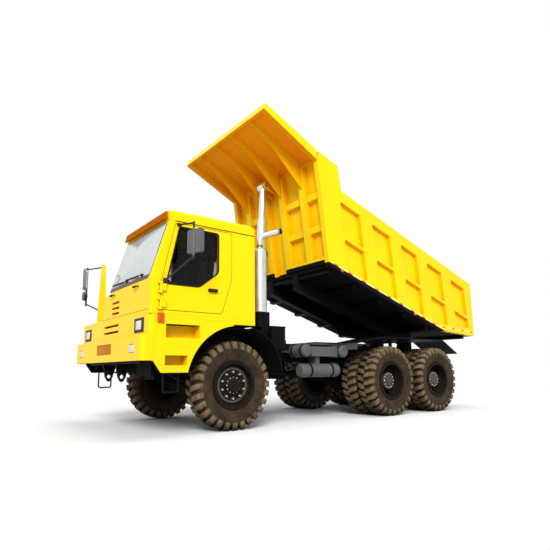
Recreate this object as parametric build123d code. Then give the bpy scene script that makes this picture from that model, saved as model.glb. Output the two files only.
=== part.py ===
from math import cos, pi, radians, sin, tan
import os

from build123d import *

# Sizes in millimetres. x runs forward from the front axle, y to the left, z up from the ground.

# Tyres and wheels
tyre_radius = 685
tyre_width = 375
lug_count = 16
lug_height = 40
lug_share = 0.6
crown_drop = 16
rim_sides = 20
rim_radius = 345
rim_flange = 26
rim_depth = 300
rim_lip = 12
rim_wall = 25
disc_plate = 20
sidewall_slope = 110
front_axle_to_rear = 3666
bogie_spacing = 1542
front_tyre_centre = 1234
rear_outer_centre = 1337
dual_spacing = 425
front_disc = 70
front_hub_radius = 150
front_hub_depth = 200
front_cap_radius = 105
front_cap_depth = 80
rear_disc = 90
rear_hub_radius = 175
spacer_radius = 265

# Axles, springs and steering
slip = 0.9
kingpin_y = 930
kingpin_radius = 32
kingpin_half = 150
boss_radius = 75
boss_half = 70
fork_gap = 5
fork_plate = 70
fork_half = 60
spindle_radius = 60
spindle_short = 20
knuckle_reach = 30
knuckle_web = 25
axle_drop = 90
axle_half = 75
axle_straight = 600
axle_lap = 20
axle_tube_radius = 95
bowl_radius = 230
bowl_width = 300
pinion_radius = 110
pinion_reach = 360
pinion_rise = 40
shaft_radius = 60
shaft_flange = 80
leaf_half = 45
leaf_reach = 820
leaf_pack = 70
hanger = 50
bogie_leaf_width = 130
bogie_leaf_pack = 150
trunnion_half = 150
spring_gap = 20
pad_half = 70
pad_top = 135

# Ladder frame
rail_y = 430
rail_top = 1420
rail_depth = 340
rail_flange = 100
rail_wall = 14
rail_front = 1390
rail_rear = -5350
member_half = 60
member_behind_hoist = 650
carrier_front_inset = 40
carrier_rear_inset = 80
nose_half_width = 1150
nose_plate = 40
horn_inset = 60
tow_y = 300
tow_z = 825
tow_plate = 40
tow_bore = 32
tow_back = 15
tow_half_top = 100
tow_half_low = 60
tow_shoulder = 10
tow_tip = 110
draw_plate = 40
draw_reach = 140
draw_half_width = 110
draw_z = 1110
draw_bore = 26

# Engine and gearbox
engine_rear = -500
engine_front = 900
engine_low = 830
engine_high = 1560
gearbox_rear = -1050
gearbox_half = 230
gearbox_high = 1300
gearbox_z = 960
sump_rear = 150
sump_front = 800
sump_half = 200
sump_depth = 60
yoke_length = 40
yoke_bite = 25

# Nose, fenders and steps
front_overhang = 1575
body_half_width = 1550
bumper_low = 1050
bumper_high = 1400
bumper_back = 1400
bumper_wall = 60
corner_radius = 70
panel_front = 1470
panel_seam = 1750
panel_wall = 60
headlamp_y = 1190
headlamp_width = 330
headlamp_low = 1450
headlamp_high = 1650
headlamp_proud = 8
fog_y = 1200
fog_z = 1220
fog_width = 190
fog_height = 120
fog_depth = 40
plate_half_width = 350
plate_low = 1165
plate_high = 1325
plate_recess = 12
slot_half_width = 350
slot_height = 35
nose_slots = (1505, 1605)
hood_slots = (1800, 1885, 1970)
skirt_low = 885
skirt_front = 1290
skirt_rear = 850
arch_radius = 900
arch_flat = 1600
arch_flat_front = 100
arch_rise = 215
skirt_lap = 10
liner_gap = 20
liner_plate = 15
liner_inner = 480
liner_rise = 400
liner_back = 600
liner_hook = 25
step_depth = 200
step_wall = 20
upper_step = (695, 1225, 1365, 1555)
lower_step = (890, 1230, 985, 1120)
hang_front = 1190
hang_rear = 960
hang_low = 615
hang_rod = 13
hang_inset = 140
tread_half = 60

# Cab
cab_right = -120
hood_right = -430
hood_top = 2150
cab_rear = -280
cab_floor_low = 1640
cab_floor_high = 1690
cab_belt = 2180
windscreen_head = 1200
drip_line = 3050
roof_top = 3225
roof_radius = 60
roof_nose = 15
roof_brow = 70
roof_front_drop = 35
roof_crown_back = 90
roof_crown_drop = 10
roof_rear_round = 120
roof_rim = 80
roof_header = 120
cab_wall = 60
seal = 5
glass = 10
glass_inset = 25
screen_sill = 45
screen_header = 25
screen_post = 15
door_gap = 8
door_front = 1310
door_rear = 160
door_foot_rear = 330
door_head_front = 1110
door_head = 3020
door_shoulder = 2140
door_waist = 2290
door_radius = 45
window_front = 1240
window_head_front = 1050
window_rear = 395
window_low = 2120
window_high = 2975
window_waist = 2370
window_kink = 720
window_radius = 40
hinge_forward = 8
hinge_outward = 22
hinge_levels = (1830, 2060)
hinge_knuckle = 50
hinge_ear = 30
door_pin = 12
knuckle_wall = 8
pin_clear = 2
thrust_gap = 0.5
handle_rear = 430
handle_length = 130
handle_z = 2070
handle_height = 35
rear_window_inset = 320
rear_window_low = 2300
rear_window_high = 2850
visor_height = 130
visor_plate = 28
visor_edge = 10
seat_y = 760
seat_half = 230
seat_rear = 170
seat_front = 690
seat_top = 2110
seat_pad = 120
seat_back_top = 2750
seat_back_lap = 40
seat_back_side = 10
seat_lean_front = 30
seat_lean_rear = 80
seat_frame_rear = 40
seat_frame_front = 50
seat_frame_side = 30
dash_rear = 1120
dash_foot = 60
dash_top = 140
dash_lip = 60
dash_knee = 230
column_in = 50
column_drop = 170
column_out = 190
column_rise = 90
wheel_ring = 215
wheel_rod = 16

# Mirrors and exhaust
mirror_offset = 320
mirror_width = 270
mirror_depth = 60
mirror_rod = 13
mirror_stem = 17
mirror_foot_depth = 40
top_foot_drop = 22
top_foot_inset = 45
top_foot_length = 30
top_foot_half = 16
low_foot_rise = 35
low_foot_near = 5
low_foot_far = 50
low_foot_half = 35
low_rod_inset = 28
left_mirror_x = 960
left_mirror_low = 2530
left_mirror_high = 2870
left_mirror_turn = 18
left_rod_above = 90
left_rod_below = 50
left_stem_above = 110
left_stem_below = 80
right_mirror_x = 1390
right_mirror_low = 2500
right_mirror_high = 2900
right_mirror_turn = -22
right_rod_above = 10
right_rod_below = 150
right_rod_rise = 300
right_rod_drop = 40
right_stem_above = 50
right_stem_below = 190
round_mirror_z = 2370
round_mirror_radius = 85
post_x = 1160
post_top = 2960
post_inset = 80
post_thick = 60
post_foot_half = 80
post_head_half = 30
stack_x = -525
stack_y = 1350
stack_radius = 112
stack_low = 1850
stack_high = 2920
pipe_radius = 48
pipe_wall = 4
pipe_bend = 110
pipe_rise = 3140
pipe_reach = (-360, 130, 130)
stack_foot_half = 120
stack_foot_low = 1600
stack_arm = 40
stack_post_drop = 200

# Tanks and mudguards
air_tank_radius = 120
air_tank_dome = 55
air_tank_z = 1260
air_tank_inner = 700
air_tank_outer = 1150
air_tank_x = (-1750, -2700)
long_tank_radius = 125
long_tank_y = 1020
long_tank_z = 900
long_tank_front = -1630
long_tank_rear = -2600
valve_gap = 140
valve_inset = 100
valve_end = 70
valve_low = 100
valve_high = 80
rack_over = 60
rack_half = 20
tie_depth = 110
drop_lap = 95
fuel_front = -1450
fuel_rear = -2650
fuel_inner = 650
fuel_outer = 1300
fuel_low = 720
fuel_high = 1280
fuel_radius = 110
strap_half = 50
fuel_strap_inset = 250
fuel_lap = 10
guard_plate = 20
guard_inner = 620
guard_top = 1560
guard_front = -2760
guard_front_z = 1420
guard_level_front = -3560
guard_level_rear = -5600
guard_rear = -6150
guard_rear_z = 1270
guard_radius = 250
guard_arms = (-3250, -4720, -5300)
guard_arm_half = 40
guard_arm_low = 1330
guard_arm_high = 1400
guard_outer_inset = 30
guard_clear = 10
front_guard_rise = 50
front_guard_inset = 250
front_guard_top = ((-640, 1390), (-880, 900))
front_guard_under = ((-624, 1376), (-858, 900))
front_arm_x = -685
front_arm_z = 1280
front_arm_half = 30

# Bed, in its own axes from the hinge: u forward, v up
hinge_overhang = 200
hinge_z = 1500
hinge_pin = 45
hinge_boss = 95
hinge_plate = 30
hinge_clear = 15
hinge_cross = 110
tip_angle = 17.3
bed_half_width = 1450
bed_wall = 110
bed_pocket = 80
bed_plate = 30
bed_floor_low = 215
bed_floor_high = 270
bed_kink = 243
floor_kink = 8
wall_gap = 2
bed_rail = 1800
bed_rail_rear = -830
bed_post = 620
bed_post_rake = 230
bed_post_drop = 12
bed_tail = -1242
bed_tail_low = 586
bed_wall_foot = 3728
bed_lean = 24.3
bed_cell = 575
bed_pitch = 955
bed_columns = 5
bed_first_cell = 3800
bed_border = 140
upper_cells = (960, 1580)
lower_cells = (350, 900)
cell_radius = 30
canopy_root_low = 2067
canopy_root_high = 2258
canopy_tip = 5940
canopy_tip_low = 2278
canopy_tip_high = 2401
canopy_plate = 35
canopy_lip = 60
lip_drop = 30
bed_rib = 170
bed_rib_depth = 130
rib_lines = (280, 920)
belt_lines = (870, 1450)
belt_height = 120
gusset_plate = 30
gusset_foot = 1700
gusset_bend = 5300
gusset_rise = 73
gusset_knee = 100
gusset_head = 23
gusset_tip = 50
gusset_tip_drop = 26
beam_y = 420
beam_width = 160
beam_gap = 25
beam_front = 3700
beam_heel = 60
beam_rise = 100
bearer_lines = (500, 1300, 2100, 2900, 3600)
bearer_depth = 90
bearer_half = 50
tail_bearer = -930

# Hoist cylinder
hoist_x = -1450
hoist_z = 1250
hoist_lean = 2.48
hoist_closed = 2060
hoist_out = 616
hoist_step = 50
hoist_eye = 3473
hoist_tube = 2000
hoist_barrel_radius = 125
hoist_stage_radius = 92
hoist_rod_radius = 72
hoist_gland = 80
hoist_collar = 12
hoist_pin = 45
hoist_foot = 100
hoist_base = 40
stage_clear = 8
rod_clear = 6
rod_hidden = 110
trunnion_over = 25
eye_radius = 90
eye_half = 85
hoist_eye_u = 4729
hoist_eye_v = 1900
lug_inner = 95
lug_thick = 30
lug_half = 70
cradle_inner = 225
cradle_plate = 40
cradle_half = 200
cradle_low = 130
cradle_shoulder = 40
cradle_top = 140
cradle_top_half = 80
cradle_beam_half = 30
cradle_beam_low = 100
cradle_beam_gap = 10


def box(x0, x1, y0, y1, z0, z1):
    middle = Pos((x0 + x1) / 2, (y0 + y1) / 2, (z0 + z1) / 2)
    return middle * Box(abs(x1 - x0), abs(y1 - y0), abs(z1 - z0))


def outline(points, radius=0):
    face = make_face(Polyline(*points, close=True).edges())
    return fillet(face.vertices(), radius) if radius else face


def plate(face, y0, y1):
    return extrude(Plane.XZ.offset(-y0) * face, amount=y1 - y0, dir=(0, 1, 0))


def prism(points, y0, y1, radius=0):
    return plate(outline(points, radius), y0, y1)


def slab(points, z0, z1, radius=0):
    return extrude(Pos(0, 0, z0) * outline(points, radius), amount=z1 - z0)


def bar_y(x, z, radius, y0, y1):
    return Pos(x, (y0 + y1) / 2, z) * Rot(90, 0, 0) * Cylinder(radius, abs(y1 - y0))


def bar_x(y, z, radius, x0, x1):
    return Pos((x0 + x1) / 2, y, z) * Rot(0, 90, 0) * Cylinder(radius, abs(x1 - x0))


def bar_z(x, y, radius, z0, z1):
    return Pos(x, y, (z0 + z1) / 2) * Cylinder(radius, abs(z1 - z0))


def bar(start, end, radius):
    along = Vector(*end) - Vector(*start)
    line = Plane(origin=start, z_dir=along.normalized())
    return line * Pos(0, 0, along.length / 2) * Cylinder(radius, along.length)


def pipe(points, radius, bend):
    path = FilletPolyline(*points, radius=bend)
    start = Plane(origin=path @ 0, z_dir=path % 0)
    return sweep(start * Circle(radius), path=path)


def mirrored(shape):
    return shape.mirror(Plane.XZ)


def pair(shape):
    return [shape, mirrored(shape)]


def fused(*shapes):
    whole = shapes[0]
    for shape in shapes[1:]:
        whole = whole + shape
    return whole


def ring_section(radius, y):
    level = Plane(origin=(0, y, 0), x_dir=(1, 0, 0), z_dir=(0, 1, 0))
    return level * RegularPolygon(radius, rim_sides, major_radius=False, rotation=180 / rim_sides)


def faceted(steps):
    return loft([ring_section(radius, y) for y, radius in steps], ruled=True)


def lug_section(y, drop, phase):
    pitch = 2 * pi / lug_count
    half = pitch * lug_share / 2
    top = (tyre_radius - drop) / cos(pitch / 2 - half)
    root = tyre_radius - drop - lug_height
    points = []
    for lug in range(lug_count):
        middle = (lug + phase) * pitch
        for radius, angle in ((root, -half), (top, -half), (top, half), (root, half)):
            points.append((radius * sin(middle + angle), y, -radius * cos(middle + angle)))
    return make_face(Polyline(*points, close=True).edges())


def tread_row(phase):
    return loft([lug_section(0, 0, phase), lug_section(tyre_width / 2, crown_drop, phase)], ruled=True)


def tyre():
    half = tyre_width / 2
    bead = rim_radius + rim_flange
    dish = faceted([(rim_depth / 2, bead), (half, bead + sidewall_slope)])
    bore = faceted([(-half, rim_radius), (half, rim_radius)])
    return tread_row(0) + mirrored(tread_row(0.5)) - dish - mirrored(dish) - bore


def rim(disc_y):
    half = rim_depth / 2
    bead = rim_radius + rim_flange
    well_radius = rim_radius - rim_wall
    disc_radius = rim_radius - rim_wall / 2
    flange = faceted([(half, bead), (half + rim_lip, bead)])
    barrel = faceted([(-half, rim_radius), (half, rim_radius)])
    well = faceted([(-half - 2 * rim_lip, well_radius), (half + 2 * rim_lip, well_radius)])
    disc = faceted([(disc_y - disc_plate / 2, disc_radius), (disc_y + disc_plate / 2, disc_radius)])
    return fused(barrel, flange, mirrored(flange)) - well + disc


def wheel_at(shape, x, y):
    return Pos(x, y, tyre_radius) * shape


def front_wheel():
    half = front_hub_depth / 2
    cap_end = front_disc + front_hub_depth / 2 + rim_lip
    hub = bar_y(0, 0, front_hub_radius, -half, half)
    cap = bar_y(0, 0, front_cap_radius, front_disc, cap_end)
    cap = fillet(cap.edges().group_by(Axis.Y)[-1], front_cap_depth / 4)
    bore = bar_y(0, 0, spindle_radius + slip, -tyre_width, front_disc - disc_plate / 2)
    return fused(rim(front_disc), hub, cap) - bore


def rear_wheels():
    half = dual_spacing / 2
    outer = Pos(0, half, 0) * rim(-rear_disc)
    spacer = bar_y(0, 0, spacer_radius, rear_disc - half, half - rear_disc)
    hub = bar_y(0, 0, rear_hub_radius, rear_disc - half, half + disc_plate)
    hub = fillet(hub.edges().group_by(Axis.Y)[-1], disc_plate)
    bore = bar_y(0, 0, axle_tube_radius + slip, -dual_spacing, half - rear_disc)
    return fused(outer, mirrored(outer), spacer, hub) - bore


def frame_rails():
    low = rail_top - rail_depth
    lip_y = rail_y - rail_flange
    whole = box(rail_rear, rail_front, lip_y, rail_y, low, rail_top)
    channel = box(rail_rear, rail_front, lip_y, rail_y - rail_wall, low + rail_wall, rail_top - rail_wall)
    return pair(whole - channel)


def crossmember(x):
    inner = rail_y - rail_wall
    low = rail_top - rail_depth + rail_wall
    return box(x - member_half, x + member_half, -inner, inner, low, rail_top - rail_wall)


def frame_crossmembers():
    low = rail_top - rail_depth
    lip_y = rail_y - rail_flange
    behind_engine = hoist_x + cradle_half + 2 * member_half
    behind_hoist = hoist_x - cradle_half - member_behind_hoist
    stations = (behind_engine, behind_hoist, -front_axle_to_rear - bogie_spacing / 2)
    nose = box(rail_front, rail_front + nose_plate, -nose_half_width, nose_half_width,
               low - horn_inset, low + 2 * horn_inset)
    post = box(rail_front, rail_front + nose_plate / 2, lip_y, rail_y, low, bumper_high - horn_inset)
    horn = box(rail_front, front_overhang - bumper_wall, lip_y, rail_y,
               bumper_low + horn_inset, bumper_high - horn_inset)
    return [crossmember(x) for x in stations] + [fused(nose, post, mirrored(post), horn, mirrored(horn))]


def cab_carrier(x):
    half = body_half_width - panel_wall
    low = cab_floor_low - member_half
    beam = box(x - fork_half * 2 / 3, x + fork_half * 2 / 3, -half, half, low, cab_floor_low)
    foot = box(x - fork_half * 2 / 3, x + fork_half * 2 / 3, rail_y - rail_flange, rail_y, rail_top, low)
    return fused(beam, foot, mirrored(foot))


def hinge_x():
    return rail_rear - hinge_overhang


def hinge_brackets():
    inner = beam_y - beam_width / 2 - hinge_clear
    outer = beam_y + beam_width / 2 + hinge_clear
    low = rail_top - rail_depth
    shoulder = rail_top - member_half
    back = rail_rear - hinge_cross
    crown = hinge_z + hinge_boss
    cross = box(back, rail_rear, -outer - hinge_plate, outer + hinge_plate, low, shoulder)
    cheek = prism([(rail_rear, low), (rail_rear, shoulder), (hinge_x() + hinge_boss, crown),
                   (hinge_x() - hinge_boss, crown), (hinge_x() - hinge_boss, low)], 0, hinge_plate, hinge_pin)
    cheeks = fused(Pos(0, outer, 0) * cheek, Pos(0, inner - hinge_plate, 0) * cheek)
    pin = bar_y(hinge_x(), hinge_z, hinge_pin, inner - 1.5 * hinge_plate, outer + 1.5 * hinge_plate)
    drawbar = slab([(back, -draw_half_width), (back, draw_half_width),
                    (back - draw_reach, draw_half_width / 2), (back - draw_reach, -draw_half_width / 2)],
                   draw_z, draw_z + draw_plate)
    drawbar = drawbar - bar_z(back - draw_reach / 2, 0, draw_bore, 0, rail_top)
    side = cheeks + pin
    return fused(cross, drawbar, side, mirrored(side))


def front_axle():
    low = tyre_radius - axle_drop
    beam = box(-axle_half, axle_half, -axle_straight, axle_straight, low - axle_half, low + axle_half)
    rise = [(axle_straight - axle_lap, low - axle_half), (axle_straight - axle_lap, low + axle_half),
            (kingpin_y - 2 * fork_half, tyre_radius + boss_half), (kingpin_y, tyre_radius + boss_half),
            (kingpin_y, tyre_radius - boss_half), (kingpin_y - 2 * fork_half, tyre_radius - boss_half)]
    wing = extrude(Plane.YZ.offset(-boss_half) * outline(rise), amount=2 * boss_half)
    boss = bar_z(0, kingpin_y, boss_radius, tyre_radius - boss_half, tyre_radius + boss_half)
    pin = bar_z(0, kingpin_y, kingpin_radius, tyre_radius - kingpin_half, tyre_radius + kingpin_half)
    end = fused(wing, boss, pin)
    return fused(beam, end, mirrored(end))


def arched_leaf(middle, seat, reach, tip, pack, y0, y1):
    ends = [(middle - reach, tip), (middle + reach, tip)]
    crown = (middle, seat)
    low = ThreePointArc(ends[0], crown, ends[1])
    high = ThreePointArc((ends[0][0], tip + pack / 3), (middle, seat + pack), (ends[1][0], tip + pack / 3))
    sides = [Line(low @ 0, high @ 0), Line(low @ 1, high @ 1)]
    return plate(make_face([low, high] + sides), y0, y1)


def front_springs():
    low = rail_top - rail_depth
    seat = tyre_radius - axle_drop + axle_half
    y0 = rail_y - rail_flange / 2 - leaf_half
    y1 = rail_y - rail_flange / 2 + leaf_half
    leaf = arched_leaf(0, seat, leaf_reach, low - leaf_pack, leaf_pack * 2, y0, y1)
    shackle = box(leaf_reach - hanger, leaf_reach + hanger, y0, y1, low - leaf_pack, low)
    return pair(fused(leaf, shackle, shackle.mirror(Plane.YZ)))


def rear_axle(x):
    reach = rear_outer_centre - rear_disc - fork_half * 5 / 3
    nose_z = tyre_radius + pinion_rise
    tube = bar_y(x, tyre_radius, axle_tube_radius, -reach, reach)
    bowl = bar_y(x, tyre_radius, bowl_radius, -bowl_width / 2, bowl_width / 2)
    bowl = fillet(bowl.edges().filter_by(GeomType.CIRCLE), bowl_width / 4)
    pinion = bar_x(0, nose_z, pinion_radius, x, x + pinion_reach)
    y0 = rail_y + spring_gap
    pad = box(x - pad_half, x + pad_half, y0, y0 + bogie_leaf_width, tyre_radius, tyre_radius + pad_top)
    pad = pad - bogie_leaf()
    return fused(tube, bowl, pinion, pad, mirrored(pad))


def bogie_leaf():
    middle = -front_axle_to_rear - bogie_spacing / 2
    tip = tyre_radius + axle_tube_radius
    crown = tip + bogie_leaf_pack / 2
    y0 = rail_y + spring_gap
    reach = bogie_spacing / 2 + pad_half
    return arched_leaf(middle, crown, reach, tip, bogie_leaf_pack, y0, y0 + bogie_leaf_width)


def bogie_springs():
    middle = -front_axle_to_rear - bogie_spacing / 2
    low = tyre_radius + axle_tube_radius + bogie_leaf_pack
    y1 = rail_y + spring_gap + bogie_leaf_width
    saddle = box(middle - trunnion_half, middle + trunnion_half, rail_y, y1, low, rail_top - member_half)
    return pair(bogie_leaf() + saddle)


def engine_block():
    half = rail_y - rail_flange - rail_wall
    motor = box(engine_rear, engine_front, -half, half, engine_low, engine_high)
    gearbox = box(gearbox_rear, engine_rear, -gearbox_half, gearbox_half, engine_low, gearbox_high)
    sump = box(sump_rear, sump_front, -sump_half, sump_half, engine_low - sump_depth, engine_low)
    return fused(motor, gearbox, sump)


def driveshaft():
    middle = tyre_radius + pinion_rise
    front = -front_axle_to_rear + pinion_reach
    rear = -front_axle_to_rear - bowl_radius
    last = -front_axle_to_rear - bogie_spacing + pinion_reach
    yoke = bar_x(0, gearbox_z, shaft_flange, gearbox_rear - yoke_length, gearbox_rear)
    tube = bar((gearbox_rear - yoke_bite, 0, gearbox_z), (front + yoke_bite, 0, middle), shaft_radius)
    flange = bar_x(0, middle, shaft_flange, front, front + yoke_length)
    return [fused(yoke, tube, flange), bar_x(0, middle, shaft_radius, last, rear)]


def nose_outline(front, back):
    half = body_half_width
    points = [(back, -half), (front, -half), (front, half), (back, half)]
    face = make_face(Polyline(*points, close=True).edges())
    return fillet(face.vertices().group_by(Axis.X)[-1], corner_radius)


def bumper():
    section = Pos(0, 0, bumper_low) * nose_outline(front_overhang, bumper_back)
    shell = extrude(section, amount=bumper_high - bumper_low)
    inner = body_half_width - 2 * bumper_wall
    hollow = box(bumper_back - seal, front_overhang - bumper_wall, -inner, inner,
                 bumper_low - seal, bumper_high - bumper_wall)
    lamp = box(front_overhang - fog_depth, front_overhang + seal,
               fog_y - fog_width / 2, fog_y + fog_width / 2, fog_z - fog_height / 2, fog_z + fog_height / 2)
    number_plate = box(front_overhang - plate_recess, front_overhang + seal,
                       -plate_half_width, plate_half_width, plate_low, plate_high)
    return shell - hollow - lamp - mirrored(lamp) - number_plate


def slot_cutter(low, y0, y1):
    height = slot_height / 2
    middle = (panel_front - 2 * panel_wall, (y0 + y1) / 2, low + height)
    cut = Plane(origin=middle, x_dir=(0, 1, 0), z_dir=(1, 0, 0))
    return extrude(cut * SlotOverall(y1 - y0, slot_height), amount=3 * panel_wall)


def front_panel():
    section = Pos(0, 0, bumper_high) * nose_outline(panel_front, bumper_back)
    top = extrude(section, amount=cab_floor_high - bumper_high)
    inner = body_half_width - panel_wall
    hollow = box(bumper_back - seal, panel_front - panel_wall, -inner, inner,
                 bumper_high - seal, cab_floor_high + seal)
    half = inner - seal
    brow = box(panel_front - panel_wall, panel_front, -half, half, cab_floor_high - seal, panel_seam)
    lamp = box(panel_front - 2 * panel_wall, panel_front + seal, headlamp_y - headlamp_width / 2,
               headlamp_y + headlamp_width / 2, headlamp_low, headlamp_high)
    skin = top - hollow + brow - lamp - mirrored(lamp)
    for level in nose_slots:
        skin = skin - slot_cutter(level, -slot_half_width, slot_half_width)
    return skin


def front_lamps():
    head = box(panel_front - panel_wall, panel_front + headlamp_proud, headlamp_y - headlamp_width / 2,
               headlamp_y + headlamp_width / 2, headlamp_low, headlamp_high)
    fog = box(front_overhang - fog_depth, front_overhang - seal, fog_y - fog_width / 2, fog_y + fog_width / 2,
              fog_z - fog_height / 2, fog_z + fog_height / 2)
    return pair(head) + pair(fog)


def step_pocket(step, grow, y0, y1):
    rear, front, low, high = step
    return box(rear - grow, front + grow, y0, y1, low - grow, high + grow)


def fender():
    inside = body_half_width - panel_wall
    floor_of_step = body_half_width - step_depth
    behind_step = floor_of_step - step_wall
    arch_end = tyre_radius + arch_rise
    skin = prism([(bumper_back, bumper_low - skirt_lap), (skirt_front, skirt_low), (skirt_rear, skirt_low),
                  (skirt_rear, arch_end), (arch_flat_front, arch_flat), (cab_rear, arch_flat),
                  (cab_rear, cab_floor_low), (bumper_back, cab_floor_low)], inside, body_half_width)
    skin = skin - bar_y(0, tyre_radius, arch_radius, 0, 2 * body_half_width)
    boxes = fused(step_pocket(upper_step, step_wall, behind_step, inside),
                  step_pocket(lower_step, step_wall, behind_step, inside))
    boxes = boxes - bar_y(0, tyre_radius, arch_radius, 0, 2 * body_half_width)
    for step in (upper_step, lower_step):
        pocket = step_pocket(step, 0, floor_of_step, body_half_width + seal)
        skin = skin - pocket
        boxes = boxes - pocket
    return skin + boxes


def arch_liner():
    outer = arch_radius - liner_gap
    inner = outer - liner_plate
    y1 = body_half_width - panel_wall
    ring = bar_y(0, tyre_radius, outer, liner_inner, y1) - bar_y(0, tyre_radius, inner, 0, 2 * y1)
    sector = prism([(0, tyre_radius), (2 * outer, tyre_radius + liner_rise), (2 * outer, 3 * outer),
                    (-liner_back, 3 * outer)], 0, 2 * body_half_width)
    top = tyre_radius + arch_rise
    hook = box(outer - 2 * liner_plate, outer + 2 * liner_gap, y1 - step_depth, y1, top - liner_hook, top)
    return (ring & sector) + hook


def front_mudguard():
    high = cab_floor_low - 2 * member_half + front_guard_rise
    start = cab_rear - guard_clear
    top = ThreePointArc((start, high), *front_guard_top)
    low = ThreePointArc((start, high - guard_plate), *front_guard_under)
    sides = [Line(top @ 0, low @ 0), Line(top @ 1, low @ 1)]
    inner = rail_y + front_guard_inset
    blade = plate(make_face([top, low] + sides), inner, body_half_width - panel_wall)
    return blade + box(front_arm_x - front_arm_half, front_arm_x + front_arm_half,
                       rail_y, inner + guard_plate,
                       front_arm_z - front_arm_half, front_arm_z + front_arm_half)


def right_deck():
    front = panel_front - panel_wall - seal
    pan = box(cab_rear, front, -body_half_width, cab_right, cab_floor_low, panel_seam)
    outside = -body_half_width + panel_wall
    corner = box(bumper_back, front, -body_half_width, outside, cab_floor_low, cab_floor_high)
    hollow = box(cab_rear + panel_wall, front - panel_wall, outside, cab_right - panel_wall,
                 cab_floor_low - seal, panel_seam - step_wall)
    return pan - hollow - corner


def cab_floor():
    front = panel_front - panel_wall - seal
    pan = box(cab_rear, front, cab_right, body_half_width, cab_floor_low, cab_floor_high)
    inside = body_half_width - panel_wall
    return pan - box(bumper_back, front, inside, body_half_width, cab_floor_low, cab_floor_high)


def cab_side_outline():
    return [(cab_rear, cab_floor_high), (panel_front, cab_floor_high), (panel_front, cab_belt),
            (windscreen_head, drip_line), (cab_rear, drip_line)]


def door_face():
    return outline([(door_front, panel_seam), (door_front, door_shoulder), (door_head_front, door_head),
                    (door_rear, door_head), (door_rear, door_waist), (door_foot_rear, panel_seam)],
                   door_radius)


def window_face():
    return outline([(window_front, window_low), (window_head_front, window_high), (window_rear, window_high),
                    (window_rear, window_waist), (window_kink, window_low)], window_radius)


def hinge_place():
    return (door_front + hinge_forward, body_half_width + hinge_outward)


def cab_side_left():
    inside = body_half_width - cab_wall
    x, y = hinge_place()
    wall = prism(cab_side_outline(), inside, body_half_width)
    wall = wall - plate(offset(door_face(), door_gap), inside - seal, body_half_width + seal)
    for level in hinge_levels:
        reach = hinge_knuckle + thrust_gap + hinge_ear
        wall = wall + bar_z(x, y, door_pin, level - reach, level + reach)
        for low in (level - reach, level + reach - hinge_ear):
            ear = box(x, x + hinge_knuckle, body_half_width, y + door_pin, low, low + hinge_ear)
            wall = wall + ear + bar_z(x, y, door_pin + knuckle_wall, low, low + hinge_ear)
    return wall


def door_left():
    inside = body_half_width - cab_wall
    x, y = hinge_place()
    leaf = plate(door_face(), inside, body_half_width)
    leaf = leaf - plate(window_face(), inside - seal, body_half_width + seal)
    grip = box(handle_rear, handle_rear + handle_length,
               body_half_width - seal, body_half_width + handle_height, handle_z, handle_z + handle_height)
    leaf = leaf + fillet(grip.edges().filter_by(Axis.Z), seal * 2)
    for level in hinge_levels:
        low = level - hinge_knuckle
        high = level + hinge_knuckle
        leaf = leaf + box(x - 1.4 * hinge_knuckle, x, body_half_width, y + door_pin, low, high)
        leaf = leaf + bar_z(x, y, door_pin + knuckle_wall, low, high)
    for level in hinge_levels:
        reach = 2 * hinge_knuckle
        leaf = leaf - bar_z(x, y, door_pin + pin_clear, level - reach, level + reach)
    return leaf


def door_glass():
    middle = body_half_width - cab_wall / 2
    return plate(window_face(), middle - glass / 2, middle + glass / 2)


def cab_side_right():
    nose = panel_front - cab_wall - seal
    lower = [(cab_rear, cab_floor_high), (nose, cab_floor_high), (nose, hood_top + seal)]
    wall = prism(lower + cab_side_outline()[2:], cab_right, cab_right + cab_wall)
    return wall - plate(window_face(), cab_right - seal, cab_right + cab_wall + seal)


def rear_window(x0, x1):
    return box(x0, x1, cab_right + rear_window_inset, body_half_width - rear_window_inset,
               rear_window_low, rear_window_high)


def cab_rear_wall():
    wall = box(cab_rear, cab_rear + cab_wall, cab_right + cab_wall, body_half_width - cab_wall,
               cab_floor_high, drip_line)
    cut = rear_window(cab_rear - seal, cab_rear + cab_wall + seal)
    return wall - fillet(cut.edges().filter_by(Axis.X), window_radius)


def screen_x(z, back):
    rake = (panel_front - windscreen_head) / (drip_line - cab_belt)
    return panel_front - rake * (z - cab_belt) - back


def screen_prism(front, back):
    low = cab_belt + screen_sill
    high = drip_line - screen_header
    points = [(screen_x(low, front), low), (screen_x(high, front), high),
              (screen_x(high, back), high), (screen_x(low, back), low)]
    return prism(points, cab_right + cab_wall + screen_post, body_half_width - cab_wall - screen_post)


def cab_front_frame():
    inner_left = body_half_width - cab_wall
    inner_right = cab_right + cab_wall
    sill = panel_seam + seal
    wall = prism([(panel_front, sill), (panel_front, cab_belt), (windscreen_head, drip_line),
                  (screen_x(drip_line, cab_wall), drip_line), (panel_front - cab_wall, cab_belt),
                  (panel_front - cab_wall, sill)], inner_right, inner_left)
    hood = box(panel_front - cab_wall, panel_front, hood_right, inner_right, sill, hood_top)
    wall = wall + hood - screen_prism(-cab_wall, 2 * cab_wall)
    for level in hood_slots:
        wall = wall - slot_cutter(level, 0, slot_half_width)
    return wall


def cab_glass():
    screen = screen_prism(glass_inset, glass_inset + glass)
    side = plate(window_face(), cab_right + glass_inset, cab_right + glass_inset + glass)
    rear = rear_window(cab_rear + glass_inset, cab_rear + glass_inset + glass)
    return [screen, side, fillet(rear.edges().filter_by(Axis.X), window_radius)]


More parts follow.
